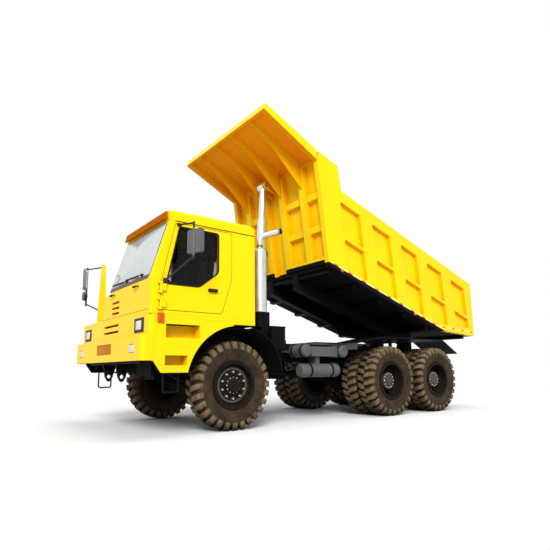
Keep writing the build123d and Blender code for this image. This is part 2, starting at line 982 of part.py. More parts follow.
def cab_roof():
    nose = windscreen_head + roof_nose
    crown = prism([(cab_rear, drip_line), (windscreen_head, drip_line), (nose, drip_line + roof_brow),
                   (nose - seal, roof_top - roof_front_drop),
                   (windscreen_head - roof_crown_back, roof_top - roof_crown_drop),
                   (cab_rear + roof_rear_round, roof_top), (cab_rear, roof_top - roof_radius)],
                  cab_right, body_half_width)
    width = body_half_width - cab_right
    end = Plane.YZ * Pos((body_half_width + cab_right) / 2, drip_line)
    arch = end * Rectangle(width, 2 * (roof_top - drip_line))
    arch = extrude(fillet(arch.vertices(), roof_radius), amount=2 * panel_front, both=True)
    hollow = box(cab_rear + roof_rim, windscreen_head - roof_header, cab_right + roof_rim,
                 body_half_width - roof_rim, drip_line - seal, drip_line + roof_rim)
    return (crown & arch) - hollow


def sun_visor():
    foot = windscreen_head + roof_nose
    low = roof_top - roof_front_drop - visor_height
    inside = foot - visor_plate
    blade = prism([(inside, low + visor_height), (foot + visor_plate, low + visor_height),
                   (foot + 2 * visor_plate, low + visor_edge), (foot + 1.4 * visor_plate, low),
                   (inside, low + visor_height * 0.6)], cab_right + cab_wall, body_half_width - cab_wall)
    return blade - cab_roof()


def seat():
    y0 = seat_y - seat_half
    y1 = seat_y + seat_half
    pad_low = seat_top - seat_pad
    base = box(seat_rear + seat_frame_rear, seat_front - seat_frame_front,
               y0 + seat_frame_side, y1 - seat_frame_side, cab_floor_high, pad_low)
    cushion = box(seat_rear, seat_front, y0, y1, pad_low, seat_top)
    cushion = fillet(cushion.edges().filter_by(Axis.Y), seat_pad / 3)
    foot = seat_top - seat_back_lap
    back = prism([(seat_rear, foot), (seat_rear + seat_pad, foot),
                  (seat_rear + seat_lean_front, seat_back_top), (seat_rear - seat_lean_rear, seat_back_top)],
                 y0 + seat_back_side, y1 - seat_back_side, seat_pad / 3)
    return fused(base, cushion, back)


def dashboard():
    front = panel_front - cab_wall - 2 * seal
    points = [(dash_rear + dash_foot, cab_floor_high), (front, cab_floor_high), (front, cab_belt - 2 * seal),
              (dash_rear + dash_top, cab_belt + 2 * seal), (dash_rear, cab_belt - dash_lip),
              (dash_rear + dash_foot, cab_belt - dash_knee)]
    return prism(points, cab_right + cab_wall + seal, body_half_width - cab_wall - seal)


def steering_wheel():
    foot = (dash_rear + column_in, seat_y, cab_belt - column_drop)
    head = (dash_rear - column_out, seat_y, cab_belt + column_rise)
    tilt = Plane(origin=head, z_dir=(Vector(*head) - Vector(*foot)).normalized())
    column = bar(foot, head, 2 * wheel_rod)
    ring = tilt * Torus(wheel_ring, wheel_rod)
    spoke = tilt * Box(2 * wheel_ring, 2.2 * wheel_rod, wheel_rod)
    return fused(column, ring, spoke)


def mirror_head(x, y, low, high, turn):
    shell = Box(mirror_depth, mirror_width, high - low)
    shell = fillet(shell.edges().filter_by(Axis.X), mirror_depth / 2)
    return Pos(x, y, (low + high) / 2) * Rot(0, 0, turn) * shell


def mirror_left():
    y = body_half_width + mirror_offset
    foot_y = body_half_width + hinge_outward
    far_y = body_half_width + mirror_foot_depth
    top_x = door_head_front - top_foot_inset
    top_z = door_head - top_foot_drop
    low_z = window_low + low_foot_rise
    x = left_mirror_x + mirror_depth / 2
    head = mirror_head(left_mirror_x, y, left_mirror_low, left_mirror_high, left_mirror_turn)
    top_foot = box(top_x - top_foot_length, top_x + top_foot_length, body_half_width, far_y,
                   top_z - top_foot_half, top_z + top_foot_half)
    low_foot = box(window_front + low_foot_near, window_front + low_foot_far, body_half_width, far_y,
                   low_z - low_foot_half, low_z + low_foot_half)
    top = bar((top_x, foot_y, top_z), (x, y, left_mirror_high + left_rod_above), mirror_rod)
    low = bar((window_front + low_rod_inset, foot_y, low_z),
              (x, y, left_mirror_low - left_rod_below), mirror_rod)
    stem = bar((x, y, left_mirror_low - left_stem_below),
               (x, y, left_mirror_high + left_stem_above), mirror_stem)
    return fused(head, top_foot, low_foot, top, low, stem)


def mirror_post():
    inner = -body_half_width + post_inset
    return prism([(post_x - post_foot_half, panel_seam), (post_x + post_foot_half, panel_seam),
                  (post_x + post_head_half, post_top), (post_x - post_head_half, post_top)],
                 inner - post_thick, inner)


def mirror_right():
    y = -body_half_width - mirror_offset
    x = right_mirror_x - mirror_depth / 2
    post_y = -body_half_width + post_inset - post_thick
    head = mirror_head(right_mirror_x, y, right_mirror_low, right_mirror_high, right_mirror_turn)
    dish = bar_x(y, round_mirror_z, round_mirror_radius, x, x + mirror_depth)
    high = right_mirror_high
    top = bar((post_x, post_y, post_top - right_rod_drop), (x, y, high + right_rod_above), mirror_rod)
    low = bar((post_x, post_y, panel_seam + right_rod_rise),
              (x, y, round_mirror_z - right_rod_below), mirror_rod)
    stem = bar((x, y, round_mirror_z - right_stem_below), (x, y, high + right_stem_above), mirror_stem)
    return fused(head, dish, top, low, stem) - mirror_post()


def side_step():
    y = body_half_width - hang_inset
    top = lower_step[2] - step_wall
    loop = pipe([(hang_rear, y, top), (hang_rear, y, hang_low), (hang_front, y, hang_low),
                 (hang_front, y, top)], hang_rod, 3 * hang_rod)
    tread = box(hang_rear + 3 * hang_rod, hang_front - 3 * hang_rod, y - tread_half, y + tread_half / 2,
                hang_low, hang_low + hang_rod)
    return loop + tread


def tow_hook():
    top = rail_top - rail_depth - horn_inset
    middle = rail_front - tow_back
    shoulder = tow_z - tow_shoulder
    points = [(middle - tow_half_top, top), (middle - tow_half_low, shoulder), (middle, tow_z - tow_tip),
              (middle + tow_half_low, shoulder), (middle + tow_half_top, top)]
    blade = prism(points, tow_y - tow_plate / 2, tow_y + tow_plate / 2)
    tip = blade.edges().filter_by(Axis.Y).group_by(Axis.Z)[0]
    blade = fillet(tip, tow_bore)
    return blade - bar_y(middle, tow_z, tow_bore, tow_y - tow_plate, tow_y + tow_plate)


def domed(tank):
    return fillet(tank.edges().filter_by(GeomType.CIRCLE), air_tank_dome)


def air_tanks():
    tanks = [domed(bar_y(x, air_tank_z, air_tank_radius, air_tank_inner, air_tank_outer)) for x in air_tank_x]
    front, rear = air_tank_x
    long_tank = domed(bar_x(long_tank_y, long_tank_z, long_tank_radius, long_tank_rear, long_tank_front))
    rack_low = air_tank_z - rack_half
    rack_high = air_tank_z + rack_half
    valve = box(rear + valve_gap, front - valve_gap, air_tank_inner + valve_inset, air_tank_outer - valve_end,
                air_tank_z - valve_low, air_tank_z + valve_high)
    rack = box(rear - rack_over, front + rack_over, rail_y, air_tank_inner + air_tank_dome,
               rack_low, rack_high)
    tie = box(rear + valve_gap, front - valve_gap, air_tank_inner, air_tank_inner + tie_depth,
              rack_low, rack_high)
    middle = (long_tank_front + long_tank_rear) / 2
    drop = box(middle - strap_half, middle + strap_half,
               air_tank_inner + valve_inset, long_tank_y - rack_half, long_tank_z, air_tank_z - drop_lap)
    return fused(*tanks, long_tank, valve, rack, tie, drop)


def fuel_tank():
    tank = box(fuel_rear, fuel_front, -fuel_outer, -fuel_inner, fuel_low, fuel_high)
    tank = fillet(tank.edges().filter_by(Axis.X), fuel_radius)
    for x in (fuel_front - fuel_strap_inset, fuel_rear + fuel_strap_inset):
        tank = tank + box(x - strap_half, x + strap_half, -fuel_inner - fuel_lap, -rail_y,
                          fuel_low + 3 * fuel_radius, fuel_high - fuel_radius)
    return tank


def mudguard():
    line = FilletPolyline((guard_front, guard_front_z), (guard_level_front, guard_top),
                          (guard_level_rear, guard_top), (guard_rear, guard_rear_z), radius=guard_radius)
    under = Pos(0, -guard_plate) * line
    sheet = make_face([*line.edges(), *under.edges(), Line(line @ 0, under @ 0), Line(line @ 1, under @ 1)])
    guard = plate(sheet, guard_inner, bed_half_width - guard_outer_inset)
    for x in guard_arms:
        slope = (guard_top - guard_front_z) / (guard_front - guard_level_front)
        top = guard_top - guard_plate / 2 - max(0, x - guard_level_front) * slope
        rear = x - guard_arm_half
        front = x + guard_arm_half
        outer = guard_inner + guard_arm_half
        arm = box(rear, front, rail_y, outer, guard_arm_low, guard_arm_high)
        guard = guard + arm + box(rear, front, guard_inner, outer, guard_arm_low, top)
    return guard


def exhaust_stack():
    can = bar_z(stack_x, stack_y, stack_radius, stack_low, stack_high)
    can = fillet(can.edges().group_by(Axis.Z)[-1], stack_radius / 2)
    dx, dy, dz = pipe_reach
    points = [(stack_x, stack_y, stack_high - stack_radius), (stack_x, stack_y, pipe_rise),
              (stack_x + dx, stack_y + dy, pipe_rise + dz)]
    elbow = pipe(points, pipe_radius, pipe_bend)
    mouth = bar((stack_x + dx * 0.6, stack_y + dy * 0.6, pipe_rise + dz * 0.6),
                (stack_x + dx * 1.1, stack_y + dy * 1.1, pipe_rise + dz * 1.1), pipe_radius - pipe_wall)
    return can + elbow - mouth


def exhaust_bracket():
    half = stack_foot_half
    foot = box(stack_x - half, stack_x + half, stack_y - half, stack_y + half, stack_foot_low, stack_low)
    foot = fillet(foot.edges().filter_by(Axis.Z), half / 4)
    rear = stack_x - half / 2
    front = stack_x + half / 2
    arm = box(rear, front, rail_y, stack_y + half, stack_foot_low - stack_arm, stack_foot_low)
    post = box(rear, front, rail_y, rail_y + half / 2, rail_top - stack_post_drop, stack_foot_low)
    return fused(foot, arm, post)


def hoist_cradle():
    inner = rail_y - rail_wall
    y1 = cradle_inner + cradle_plate
    rear = hoist_x - cradle_half
    front = hoist_x + cradle_half
    low = hoist_z - cradle_low
    middle = hoist_z + cradle_shoulder
    high = hoist_z + cradle_top
    cheek = prism([(rear, low), (front, low), (front, middle), (hoist_x + cradle_top_half, high),
                   (hoist_x - cradle_top_half, high), (rear, middle)], cradle_inner, y1)
    cheek = cheek - bar_y(hoist_x, hoist_z, hoist_pin + slip, cradle_inner - seal, y1 + seal)
    beams = [box(x - cradle_beam_half, x + cradle_beam_half, -inner, inner, hoist_z - cradle_beam_low, middle)
             for x in (front + cradle_beam_gap, rear - cradle_beam_gap)]
    return fused(*beams, cheek, mirrored(cheek))


def on_hoist(shape):
    leaned = shape.rotate(Axis((0, 0, 0), (0, 1, 0)), -hoist_lean)
    return Pos(hoist_x, 0, hoist_z) * leaned


def hoist_barrel():
    foot = -hoist_foot
    gland_low = hoist_closed - hoist_gland
    tube = bar_z(0, 0, hoist_barrel_radius, foot, hoist_closed)
    collar = bar_z(0, 0, hoist_barrel_radius + hoist_collar, gland_low, hoist_closed)
    bore = fused(bar_z(0, 0, hoist_stage_radius + stage_clear, foot + hoist_base, gland_low),
                 bar_z(0, 0, hoist_stage_radius + slip, foot + hoist_base, hoist_closed + seal))
    trunnion_end = cradle_inner + cradle_plate + trunnion_over
    trunnion = bar_y(0, 0, hoist_pin, hoist_stage_radius + hoist_collar, trunnion_end)
    return on_hoist(fused(tube, collar, trunnion, mirrored(trunnion)) - bore)


def hoist_stage():
    top = hoist_closed + hoist_step + hoist_out
    foot = top - hoist_tube
    tube = bar_z(0, 0, hoist_stage_radius, foot, top)
    bore = fused(bar_z(0, 0, hoist_rod_radius + rod_clear, foot - seal, top - hoist_gland),
                 bar_z(0, 0, hoist_rod_radius + slip, foot - seal, top + seal))
    return on_hoist(tube - bore)


def hoist_rod():
    stem = bar_z(0, 0, hoist_rod_radius, hoist_eye - hoist_tube - rod_hidden, hoist_eye)
    eye = bar_y(0, hoist_eye, eye_radius, -eye_half, eye_half)
    return on_hoist(stem + eye)


def bed_at(u, v):
    return (hinge_x() + u, hinge_z + v)


def on_bed(shape):
    return shape.rotate(Axis((hinge_x(), 0, hinge_z), (0, 1, 0)), -tip_angle)


def front_line(v, back):
    return bed_wall_foot + (v - bed_floor_low) * tan(radians(bed_lean)) - back


def wall_point(v, back):
    return bed_at(front_line(v, back), v)


def tail_line(u):
    slope = (bed_tail_low - bed_floor_low) / (bed_kink - bed_tail)
    return bed_floor_low + max(0, bed_kink - u) * slope


def bed_inner():
    return bed_half_width - bed_wall


def bed_floor():
    rise = bed_floor_high - bed_floor_low
    points = [wall_point(bed_floor_low, bed_plate), bed_at(bed_kink, bed_floor_low),
              bed_at(bed_tail, bed_tail_low), bed_at(bed_tail + bed_plate, bed_tail_low + rise),
              bed_at(bed_kink + floor_kink, bed_floor_high),
              wall_point(bed_floor_high, bed_plate)]
    return on_bed(prism(points, -bed_inner(), bed_inner()))


def side_cell(low, high, column):
    lean = tan(radians(bed_lean))
    front = bed_first_cell - column * bed_pitch - (upper_cells[1] - high) * lean
    rear = front - bed_cell
    drop = (high - low) * lean
    foot_front = max(low, tail_line(front - drop) + bed_border)
    foot_rear = max(low, tail_line(rear - drop) + bed_border)
    points = [bed_at(front, high), bed_at(front - (high - foot_front) * lean, foot_front),
              bed_at(rear - (high - foot_rear) * lean, foot_rear), bed_at(rear, high)]
    return prism(points, bed_half_width - bed_pocket, bed_half_width + seal, cell_radius)


def bed_side():
    post = front_line(bed_rail, bed_post)
    points = [wall_point(bed_floor_low, 0), bed_at(bed_kink, bed_floor_low), bed_at(bed_tail, bed_tail_low),
              bed_at(bed_rail_rear, bed_rail), bed_at(post, bed_rail),
              bed_at(post + bed_post_rake, canopy_root_high - bed_post_drop),
              wall_point(canopy_root_high, canopy_lip), wall_point(canopy_root_low, 0)]
    wall = prism(points, bed_inner(), bed_half_width)
    for low, high in (upper_cells, lower_cells):
        for column in range(bed_columns):
            wall = wall - side_cell(low, high, column)
    return on_bed(wall)


def wall_band(low, high, front, back, y0, y1):
    points = [wall_point(low, front), wall_point(high, front), wall_point(high, back), wall_point(low, back)]
    return prism(points, y0, y1)


def bed_front_wall():
    foot = bed_floor_high + wall_gap
    inner = bed_inner()
    first = rib_lines[0]
    head = canopy_root_high - canopy_plate - wall_gap / 2
    wall = wall_band(foot, head, bed_rib_depth, bed_rib_depth + bed_plate, -inner, inner)
    for y in rib_lines:
        rib = wall_band(foot, canopy_root_low, 0, bed_rib_depth, y - bed_rib / 2, y + bed_rib / 2)
        wall = fused(wall, rib, mirrored(rib))
    for low in belt_lines:
        belt = wall_band(low, low + belt_height, bed_rib_depth / 3, bed_rib_depth, first, inner)
        wall = fused(wall, belt, mirrored(belt))
    sill = wall_band(foot, foot + belt_height, 0, bed_rib_depth, first, inner)
    return on_bed(fused(wall, sill, mirrored(sill)))


def hoist_lugs():
    u, v = hoist_eye_u, hoist_eye_v
    low = v - lug_half
    high = v + lug_half
    points = [wall_point(low, bed_rib_depth), bed_at(u + lug_half, low), bed_at(u + lug_half, high),
              wall_point(high + lug_half, bed_rib_depth)]
    lug = prism(points, lug_inner, lug_inner + lug_thick)
    nose = lug.edges().filter_by(Axis.Y).group_by(Axis.X)[-1]
    lug = fillet(nose, lug_half * 0.8) - bar_y(*bed_at(u, v), hoist_pin, 0, 2 * bed_half_width)
    return on_bed(lug)


def bed_canopy():
    root = front_line(canopy_root_high, canopy_lip)
    behind = root - 2 * canopy_lip
    inner = bed_inner()
    roof = prism([bed_at(behind, canopy_root_high - canopy_plate), bed_at(behind, canopy_root_high),
                  bed_at(canopy_tip, canopy_tip_high), bed_at(canopy_tip, canopy_tip_high - canopy_plate)],
                 -inner, inner)
    lip_back = canopy_tip - canopy_lip
    lip_high = canopy_tip_high - lip_drop
    lip = prism([bed_at(lip_back, canopy_tip_low), bed_at(lip_back, lip_high),
                 bed_at(canopy_tip, lip_high), bed_at(canopy_tip, canopy_tip_low)], -inner, inner)
    cheek = prism([wall_point(canopy_root_low + wall_gap, -wall_gap),
                   bed_at(root + canopy_lip + wall_gap, canopy_root_high),
                   bed_at(canopy_tip, canopy_tip_high), bed_at(canopy_tip, canopy_tip_low)],
                  inner, bed_half_width)
    whole = fused(roof, lip, cheek, mirrored(cheek))
    knee = canopy_root_low + gusset_knee
    tip = canopy_tip - gusset_tip
    for y in rib_lines:
        gusset = prism([wall_point(gusset_foot, -wall_gap), wall_point(knee, -wall_gap),
                        bed_at(front_line(knee, -wall_gap), canopy_root_high - gusset_head),
                        bed_at(tip, canopy_tip_high - gusset_tip_drop), bed_at(tip, canopy_tip_low),
                        bed_at(gusset_bend, canopy_root_low + gusset_rise)],
                       y - gusset_plate / 2, y + gusset_plate / 2)
        whole = fused(whole, gusset, mirrored(gusset))
    return on_bed(whole)


def bed_beams():
    low = rail_top + beam_gap - hinge_z
    y0 = beam_y - beam_width / 2
    y1 = beam_y + beam_width / 2
    heel = -hinge_boss - hinge_clear
    beam = prism([bed_at(-beam_heel, 0), bed_at(beam_rise, low), bed_at(beam_front - beam_rise, low),
                  bed_at(beam_front, bed_floor_low), bed_at(bed_kink, bed_floor_low),
                  bed_at(heel, tail_line(heel))], y0, y1)
    boss = bar_y(hinge_x(), hinge_z, hinge_boss, y0, y1)
    beam = beam + boss - bar_y(hinge_x(), hinge_z, hinge_pin + slip, 0, 2 * beam_y)
    whole = fused(beam, mirrored(beam))
    top = hinge_z + bed_floor_low
    for u in bearer_lines:
        x = hinge_x() + u
        whole = whole + box(x - bearer_half, x + bearer_half, -bed_inner(), bed_inner(),
                            top - bearer_depth, top)
    front = tail_bearer + bearer_half
    rear = tail_bearer - bearer_half
    tail = prism([bed_at(rear, tail_line(rear)), bed_at(front, tail_line(front)),
                  bed_at(front, tail_line(front) - bearer_depth),
                  bed_at(rear, tail_line(rear) - bearer_depth)], -bed_inner(), bed_inner())
    return [on_bed(whole), on_bed(tail)]


def knuckle():
    near = tyre_radius + boss_half + fork_gap
    far = near + fork_plate
    outer = kingpin_y + boss_radius + knuckle_reach
    arm = box(-fork_half, fork_half, kingpin_y - fork_half, outer, near, far)
    arm = fillet(arm.edges().filter_by(Axis.Z).group_by(Axis.Y)[0], fork_half / 2)
    other = Pos(0, 0, 2 * tyre_radius - near - far) * arm
    web = box(-fork_half, fork_half, outer - knuckle_web, outer, 2 * tyre_radius - far, far)
    spindle_end = front_tyre_centre + front_disc - spindle_short
    spindle = bar_y(0, tyre_radius, spindle_radius, outer - knuckle_web, spindle_end)
    return fused(arm, other, web, spindle) - bar_z(0, kingpin_y, kingpin_radius + slip, 0, 2 * tyre_radius)


def tail_reach():
    turn = radians(tip_angle)
    low = bed_tail * cos(turn) - bed_tail_low * sin(turn)
    high = bed_rail_rear * cos(turn) - bed_rail * sin(turn)
    return hinge_x() + min(low, high)


def wheel_nodes():
    tread = tyre()
    twin = rear_wheels()
    half = dual_spacing / 2
    pair_y = rear_outer_centre - half
    left = {"tyre_front_left": [wheel_at(tread, 0, front_tyre_centre)],
            "wheel_front_left": [wheel_at(front_wheel(), 0, front_tyre_centre)]}
    for row, x in (("mid", -front_axle_to_rear), ("rear", -front_axle_to_rear - bogie_spacing)):
        left["tyres_" + row + "_left"] = [wheel_at(tread, x, y) for y in (pair_y + half, pair_y - half)]
        left["wheels_" + row + "_left"] = [wheel_at(twin, x, pair_y)]
    right = {name.replace("left", "right"): [mirrored(shape) for shape in left[name]] for name in left}
    return {**left, **right}


def truck_nodes():
    rear_axle_x = -front_axle_to_rear - bogie_spacing
    found = {
        "frame_rails": frame_rails(),
        "frame_crossmembers": frame_crossmembers() + [hoist_cradle()],
        "cab_carriers": [cab_carrier(skirt_front - carrier_front_inset),
                         cab_carrier(cab_rear + carrier_rear_inset)],
        "hinge_brackets": [hinge_brackets()],
        "front_axle": [front_axle()],
        "rear_axles": [rear_axle(-front_axle_to_rear), rear_axle(rear_axle_x)],
        "leaf_springs": front_springs() + bogie_springs(),
        "engine_block": [engine_block()],
        "driveshaft": driveshaft(),
        "bumper": [bumper()],
        "front_panel": [front_panel()],
        "front_lamps": front_lamps(),
        "fenders": pair(fender()),
        "right_deck": [right_deck()],
        "cab_floor": [cab_floor()],
        "cab_side_left": [cab_side_left()],
        "cab_side_right": [cab_side_right()],
        "cab_rear_wall": [cab_rear_wall()],
        "cab_front_frame": [cab_front_frame()],
        "cab_roof": [cab_roof()],
        "cab_glass": cab_glass(),
        "sun_visor": [sun_visor()],
        "seat": [seat()],
        "dashboard": [dashboard() + steering_wheel()],
        "door_left": [door_left()],
        "door_glass": [door_glass()],
        "mirror_left": [mirror_left()],
        "mirror_right": [mirror_right()],
        "mirror_post": [mirror_post()],
        "side_steps": pair(side_step()),
        "tow_hooks": pair(tow_hook()),
        "air_tanks": [air_tanks()],
        "fuel_tank": [fuel_tank()],
        "mudguards": pair(arch_liner()) + pair(front_mudguard()) + pair(mudguard()),
        "exhaust_stack": [exhaust_stack()],
        "exhaust_bracket": [exhaust_bracket()],
        "hoist_barrel": [hoist_barrel()],
        "hoist_stage": [hoist_stage()],
        "hoist_rod": [hoist_rod()],
        "bed_floor": [bed_floor()],
        "bed_sides": pair(bed_side()),
        "bed_front_wall": [fused(bed_front_wall(), hoist_lugs(), mirrored(hoist_lugs()))],
        "bed_canopy": [bed_canopy()],
        "bed_beams": bed_beams(),
        "knuckle_left": [knuckle()],
        "knuckle_right": [mirrored(knuckle())],
    }
    return {**found, **wheel_nodes()}


os.makedirs("parts", exist_ok=True)
shift = Pos(-(front_overhang + tail_reach()) / 2, 0, 0)
for name, shapes in truck_nodes().items():
    solids = [solid for shape in shapes for solid in (shift * shape).solids()]
    export_step(Compound(solids), "parts/" + name + ".step")
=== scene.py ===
import bpy
import bmesh
import math
import numpy as np
from mathutils import Matrix, Vector


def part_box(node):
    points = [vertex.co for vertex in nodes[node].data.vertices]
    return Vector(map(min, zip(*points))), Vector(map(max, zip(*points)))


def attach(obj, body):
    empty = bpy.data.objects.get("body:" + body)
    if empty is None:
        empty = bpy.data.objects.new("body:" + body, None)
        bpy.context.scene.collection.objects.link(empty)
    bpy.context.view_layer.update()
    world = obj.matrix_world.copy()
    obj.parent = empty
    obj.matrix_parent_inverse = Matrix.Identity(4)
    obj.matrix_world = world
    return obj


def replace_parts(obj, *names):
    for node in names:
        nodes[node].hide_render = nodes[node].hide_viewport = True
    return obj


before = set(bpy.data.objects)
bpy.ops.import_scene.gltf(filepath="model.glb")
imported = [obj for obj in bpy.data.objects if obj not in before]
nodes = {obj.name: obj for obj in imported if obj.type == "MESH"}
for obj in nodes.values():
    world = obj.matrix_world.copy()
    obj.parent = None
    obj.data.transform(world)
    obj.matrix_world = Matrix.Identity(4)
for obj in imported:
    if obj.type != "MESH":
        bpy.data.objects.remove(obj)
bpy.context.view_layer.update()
print("stage: frame loaded with", len(nodes), "nodes")


def corners(node):
    low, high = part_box(node)
    return np.array(low, float), np.array(high, float)


# The front axle's place along the truck comes from the front tyre, and the cab's side from its door.
frontTyre = corners("tyre_front_left")
axleX = float(frontTyre[0][0] + frontTyre[1][0]) / 2
doorThick = 0.060
sideY = float(corners("door_left")[0][1]) + doorThick

# On the raised bed, u runs forward and v up from the hinge, turned by the tip angle.
bed = {"hinge": (axleX - 5.550, 1.500), "tip": 17.3, "side": 1.450, "sideEdge": 0.292, "wallEdge": 0.345,
       "tapeHalf": 0.014, "tape": (0.260, 3.690), "tail": ((0.243, 0.306), (-1.200, 0.666)),
       "lampU": (3.40, 1.10), "lampV": 0.262, "lampHalf": (0.038, 0.012, 0.024)}
tipSin, tipCos = math.sin(math.radians(bed["tip"])), math.cos(math.radians(bed["tip"]))


def onBed(u, y, v):
    x, z = bed["hinge"]
    return np.array([x + u * tipCos - v * tipSin, y, z + u * tipSin + v * tipCos])


def linear(hexColour, alpha=1.0):
    # sRGB hex to the linear values that the shader sockets take
    raw = np.array([int(hexColour[i:i + 2], 16) for i in (1, 3, 5)]) / 255
    lin = np.where(raw <= 0.04045, raw / 12.92, ((raw + 0.055) / 1.055) ** 2.4)
    return (*[float(c) for c in lin], alpha)


def addNode(tree, kind, links=None, **settings):
    # one node; links maps an input's name or number to a socket or a value
    node = tree.nodes.new(kind)
    for key, value in settings.items():
        setattr(node, key, value)
    for key, value in (links or {}).items():
        if isinstance(value, bpy.types.NodeSocket):
            tree.links.new(value, node.inputs[key])
        else:
            node.inputs[key].default_value = value
    return node


def startMaterial(name):
    material = bpy.data.materials.new(name)
    material.use_nodes = True
    tree = material.node_tree
    place = addNode(tree, "ShaderNodeTexCoord")
    return material, tree, tree.nodes["Principled BSDF"], place


def noiseAt(tree, vector, millimetres, detail=4.0, rough=0.55):
    links = {"Vector": vector, "Scale": 1000.0 / millimetres, "Detail": detail, "Roughness": rough}
    return addNode(tree, "ShaderNodeTexNoise", links).outputs["Fac"]


def fade(tree, value, start, end, low=0.0, high=1.0):
    return addNode(tree, "ShaderNodeMapRange", {0: value, 1: start, 2: end, 3: low, 4: high}).outputs[0]


def combine(tree, operation, first, second):
    links = {0: first, 1: second}
    return addNode(tree, "ShaderNodeMath", links, operation=operation, use_clamp=True).outputs[0]


def reckon(tree, operation, first, second):
    # plain arithmetic on two values, not held between 0 and 1
    return addNode(tree, "ShaderNodeMath", {0: first, 1: second}, operation=operation).outputs[0]


def dotWith(tree, vector, other):
    links = {0: vector, 1: other}
    return addNode(tree, "ShaderNodeVectorMath", links, operation="DOT_PRODUCT").outputs["Value"]


def blendColour(tree, amount, first, second):
    node = addNode(tree, "ShaderNodeMix", data_type="RGBA")
    for key, value in ((0, amount), (6, first), (7, second)):
        if isinstance(value, bpy.types.NodeSocket):
            tree.links.new(value, node.inputs[key])
        else:
            node.inputs[key].default_value = value
    return node.outputs[2]


def setBump(tree, shader, height, depth, edge=0.0):
    links = {"Height": height, "Strength": 1.0, "Distance": depth}
    if edge:
        links["Normal"] = addNode(tree, "ShaderNodeBevel", {"Radius": edge}, samples=6).outputs[0]
    tree.links.new(addNode(tree, "ShaderNodeBump", links).outputs[0], shader.inputs["Normal"])


def facing(tree, place, direction):
    # 1 on faces that look along the direction in the piece's own axes, 0 elsewhere
    return reckon(tree, "GREATER_THAN", dotWith(tree, place.outputs["Normal"], direction), 0.5)


def belowBedLine(tree, place, edge):
    # 1 under a line at height v = edge on the bed: v is the distance along the bed's own upward direction
    upward = (-tipSin, 0, tipCos)
    limit = float(np.dot(onBed(0, 0, edge), upward))
    return reckon(tree, "LESS_THAN", dotWith(tree, place.outputs["Object"], upward), limit)


def nearPoint(tree, place, point, start, end):
    # 1 within start of the point, fading to 0 at end
    links = {0: place.outputs["Object"], 1: tuple(point)}
    gap = addNode(tree, "ShaderNodeVectorMath", links, operation="DISTANCE")
    return fade(tree, gap.outputs["Value"], start, end, 1.0, 0.0)


def facingIn(tree, place):
    # 1 on faces that look towards the truck's centre plane
    normal = addNode(tree, "ShaderNodeSeparateXYZ", {0: place.outputs["Normal"]}).outputs[1]
    across = addNode(tree, "ShaderNodeSeparateXYZ", {0: place.outputs["Object"]}).outputs[1]
    return reckon(tree, "LESS_THAN", reckon(tree, "MULTIPLY", normal, across), -0.4)


def facingPoint(tree, place, point):
    # 1 on faces that look towards the point from more than 0.3 m away
    links = {0: place.outputs["Object"], 1: tuple(point)}
    away = addNode(tree, "ShaderNodeVectorMath", links, operation="SUBTRACT").outputs[0]
    return reckon(tree, "LESS_THAN", dotWith(tree, place.outputs["Normal"], away), -0.3)


def paintedCornerShade(tree, reach, closed, opened, most):
    # painted shade from ambient occlusion: how far a surface lies in a closed corner:
    # most where little is open within reach, 0 where it is clear
    clear = addNode(tree, "ShaderNodeAmbientOcclusion", {"Distance": reach}, samples=8).outputs["AO"]
    return fade(tree, clear, closed, opened, most, 0.0)


cabMiddle = (axleX + 0.45, 0.70, 2.30)
paint = {"yellow": "#FFDC0A", "yellowDeep": "#FFD400", "yellowDust": "#B99A58", "yellowShade": "#F08600",
         "trim": "#1C1D1F", "underseal": "#080807", "peel": 7.0, "cloud": 1100.0, "speck": 45.0, "ior": 1.28,
         "corner": 1.3, "scrape": 90.0}


def backingAndShadeMask(tree, place, way):
    # way is "inner", "cab", a direction, or (height on the bed, direction or "outer") for the strip below it
    if way == "inner":
        return facingIn(tree, place)
    if way == "cab":
        return facingPoint(tree, place, cabMiddle)
    if len(way) == 3:
        return facing(tree, place, way)
    edge, direction = way
    if direction == "outer":
        side = combine(tree, "SUBTRACT", 1.0, facingIn(tree, place))
    else:
        side = facing(tree, place, direction)
    return combine(tree, "MULTIPLY", belowBedLine(tree, place, edge), side)


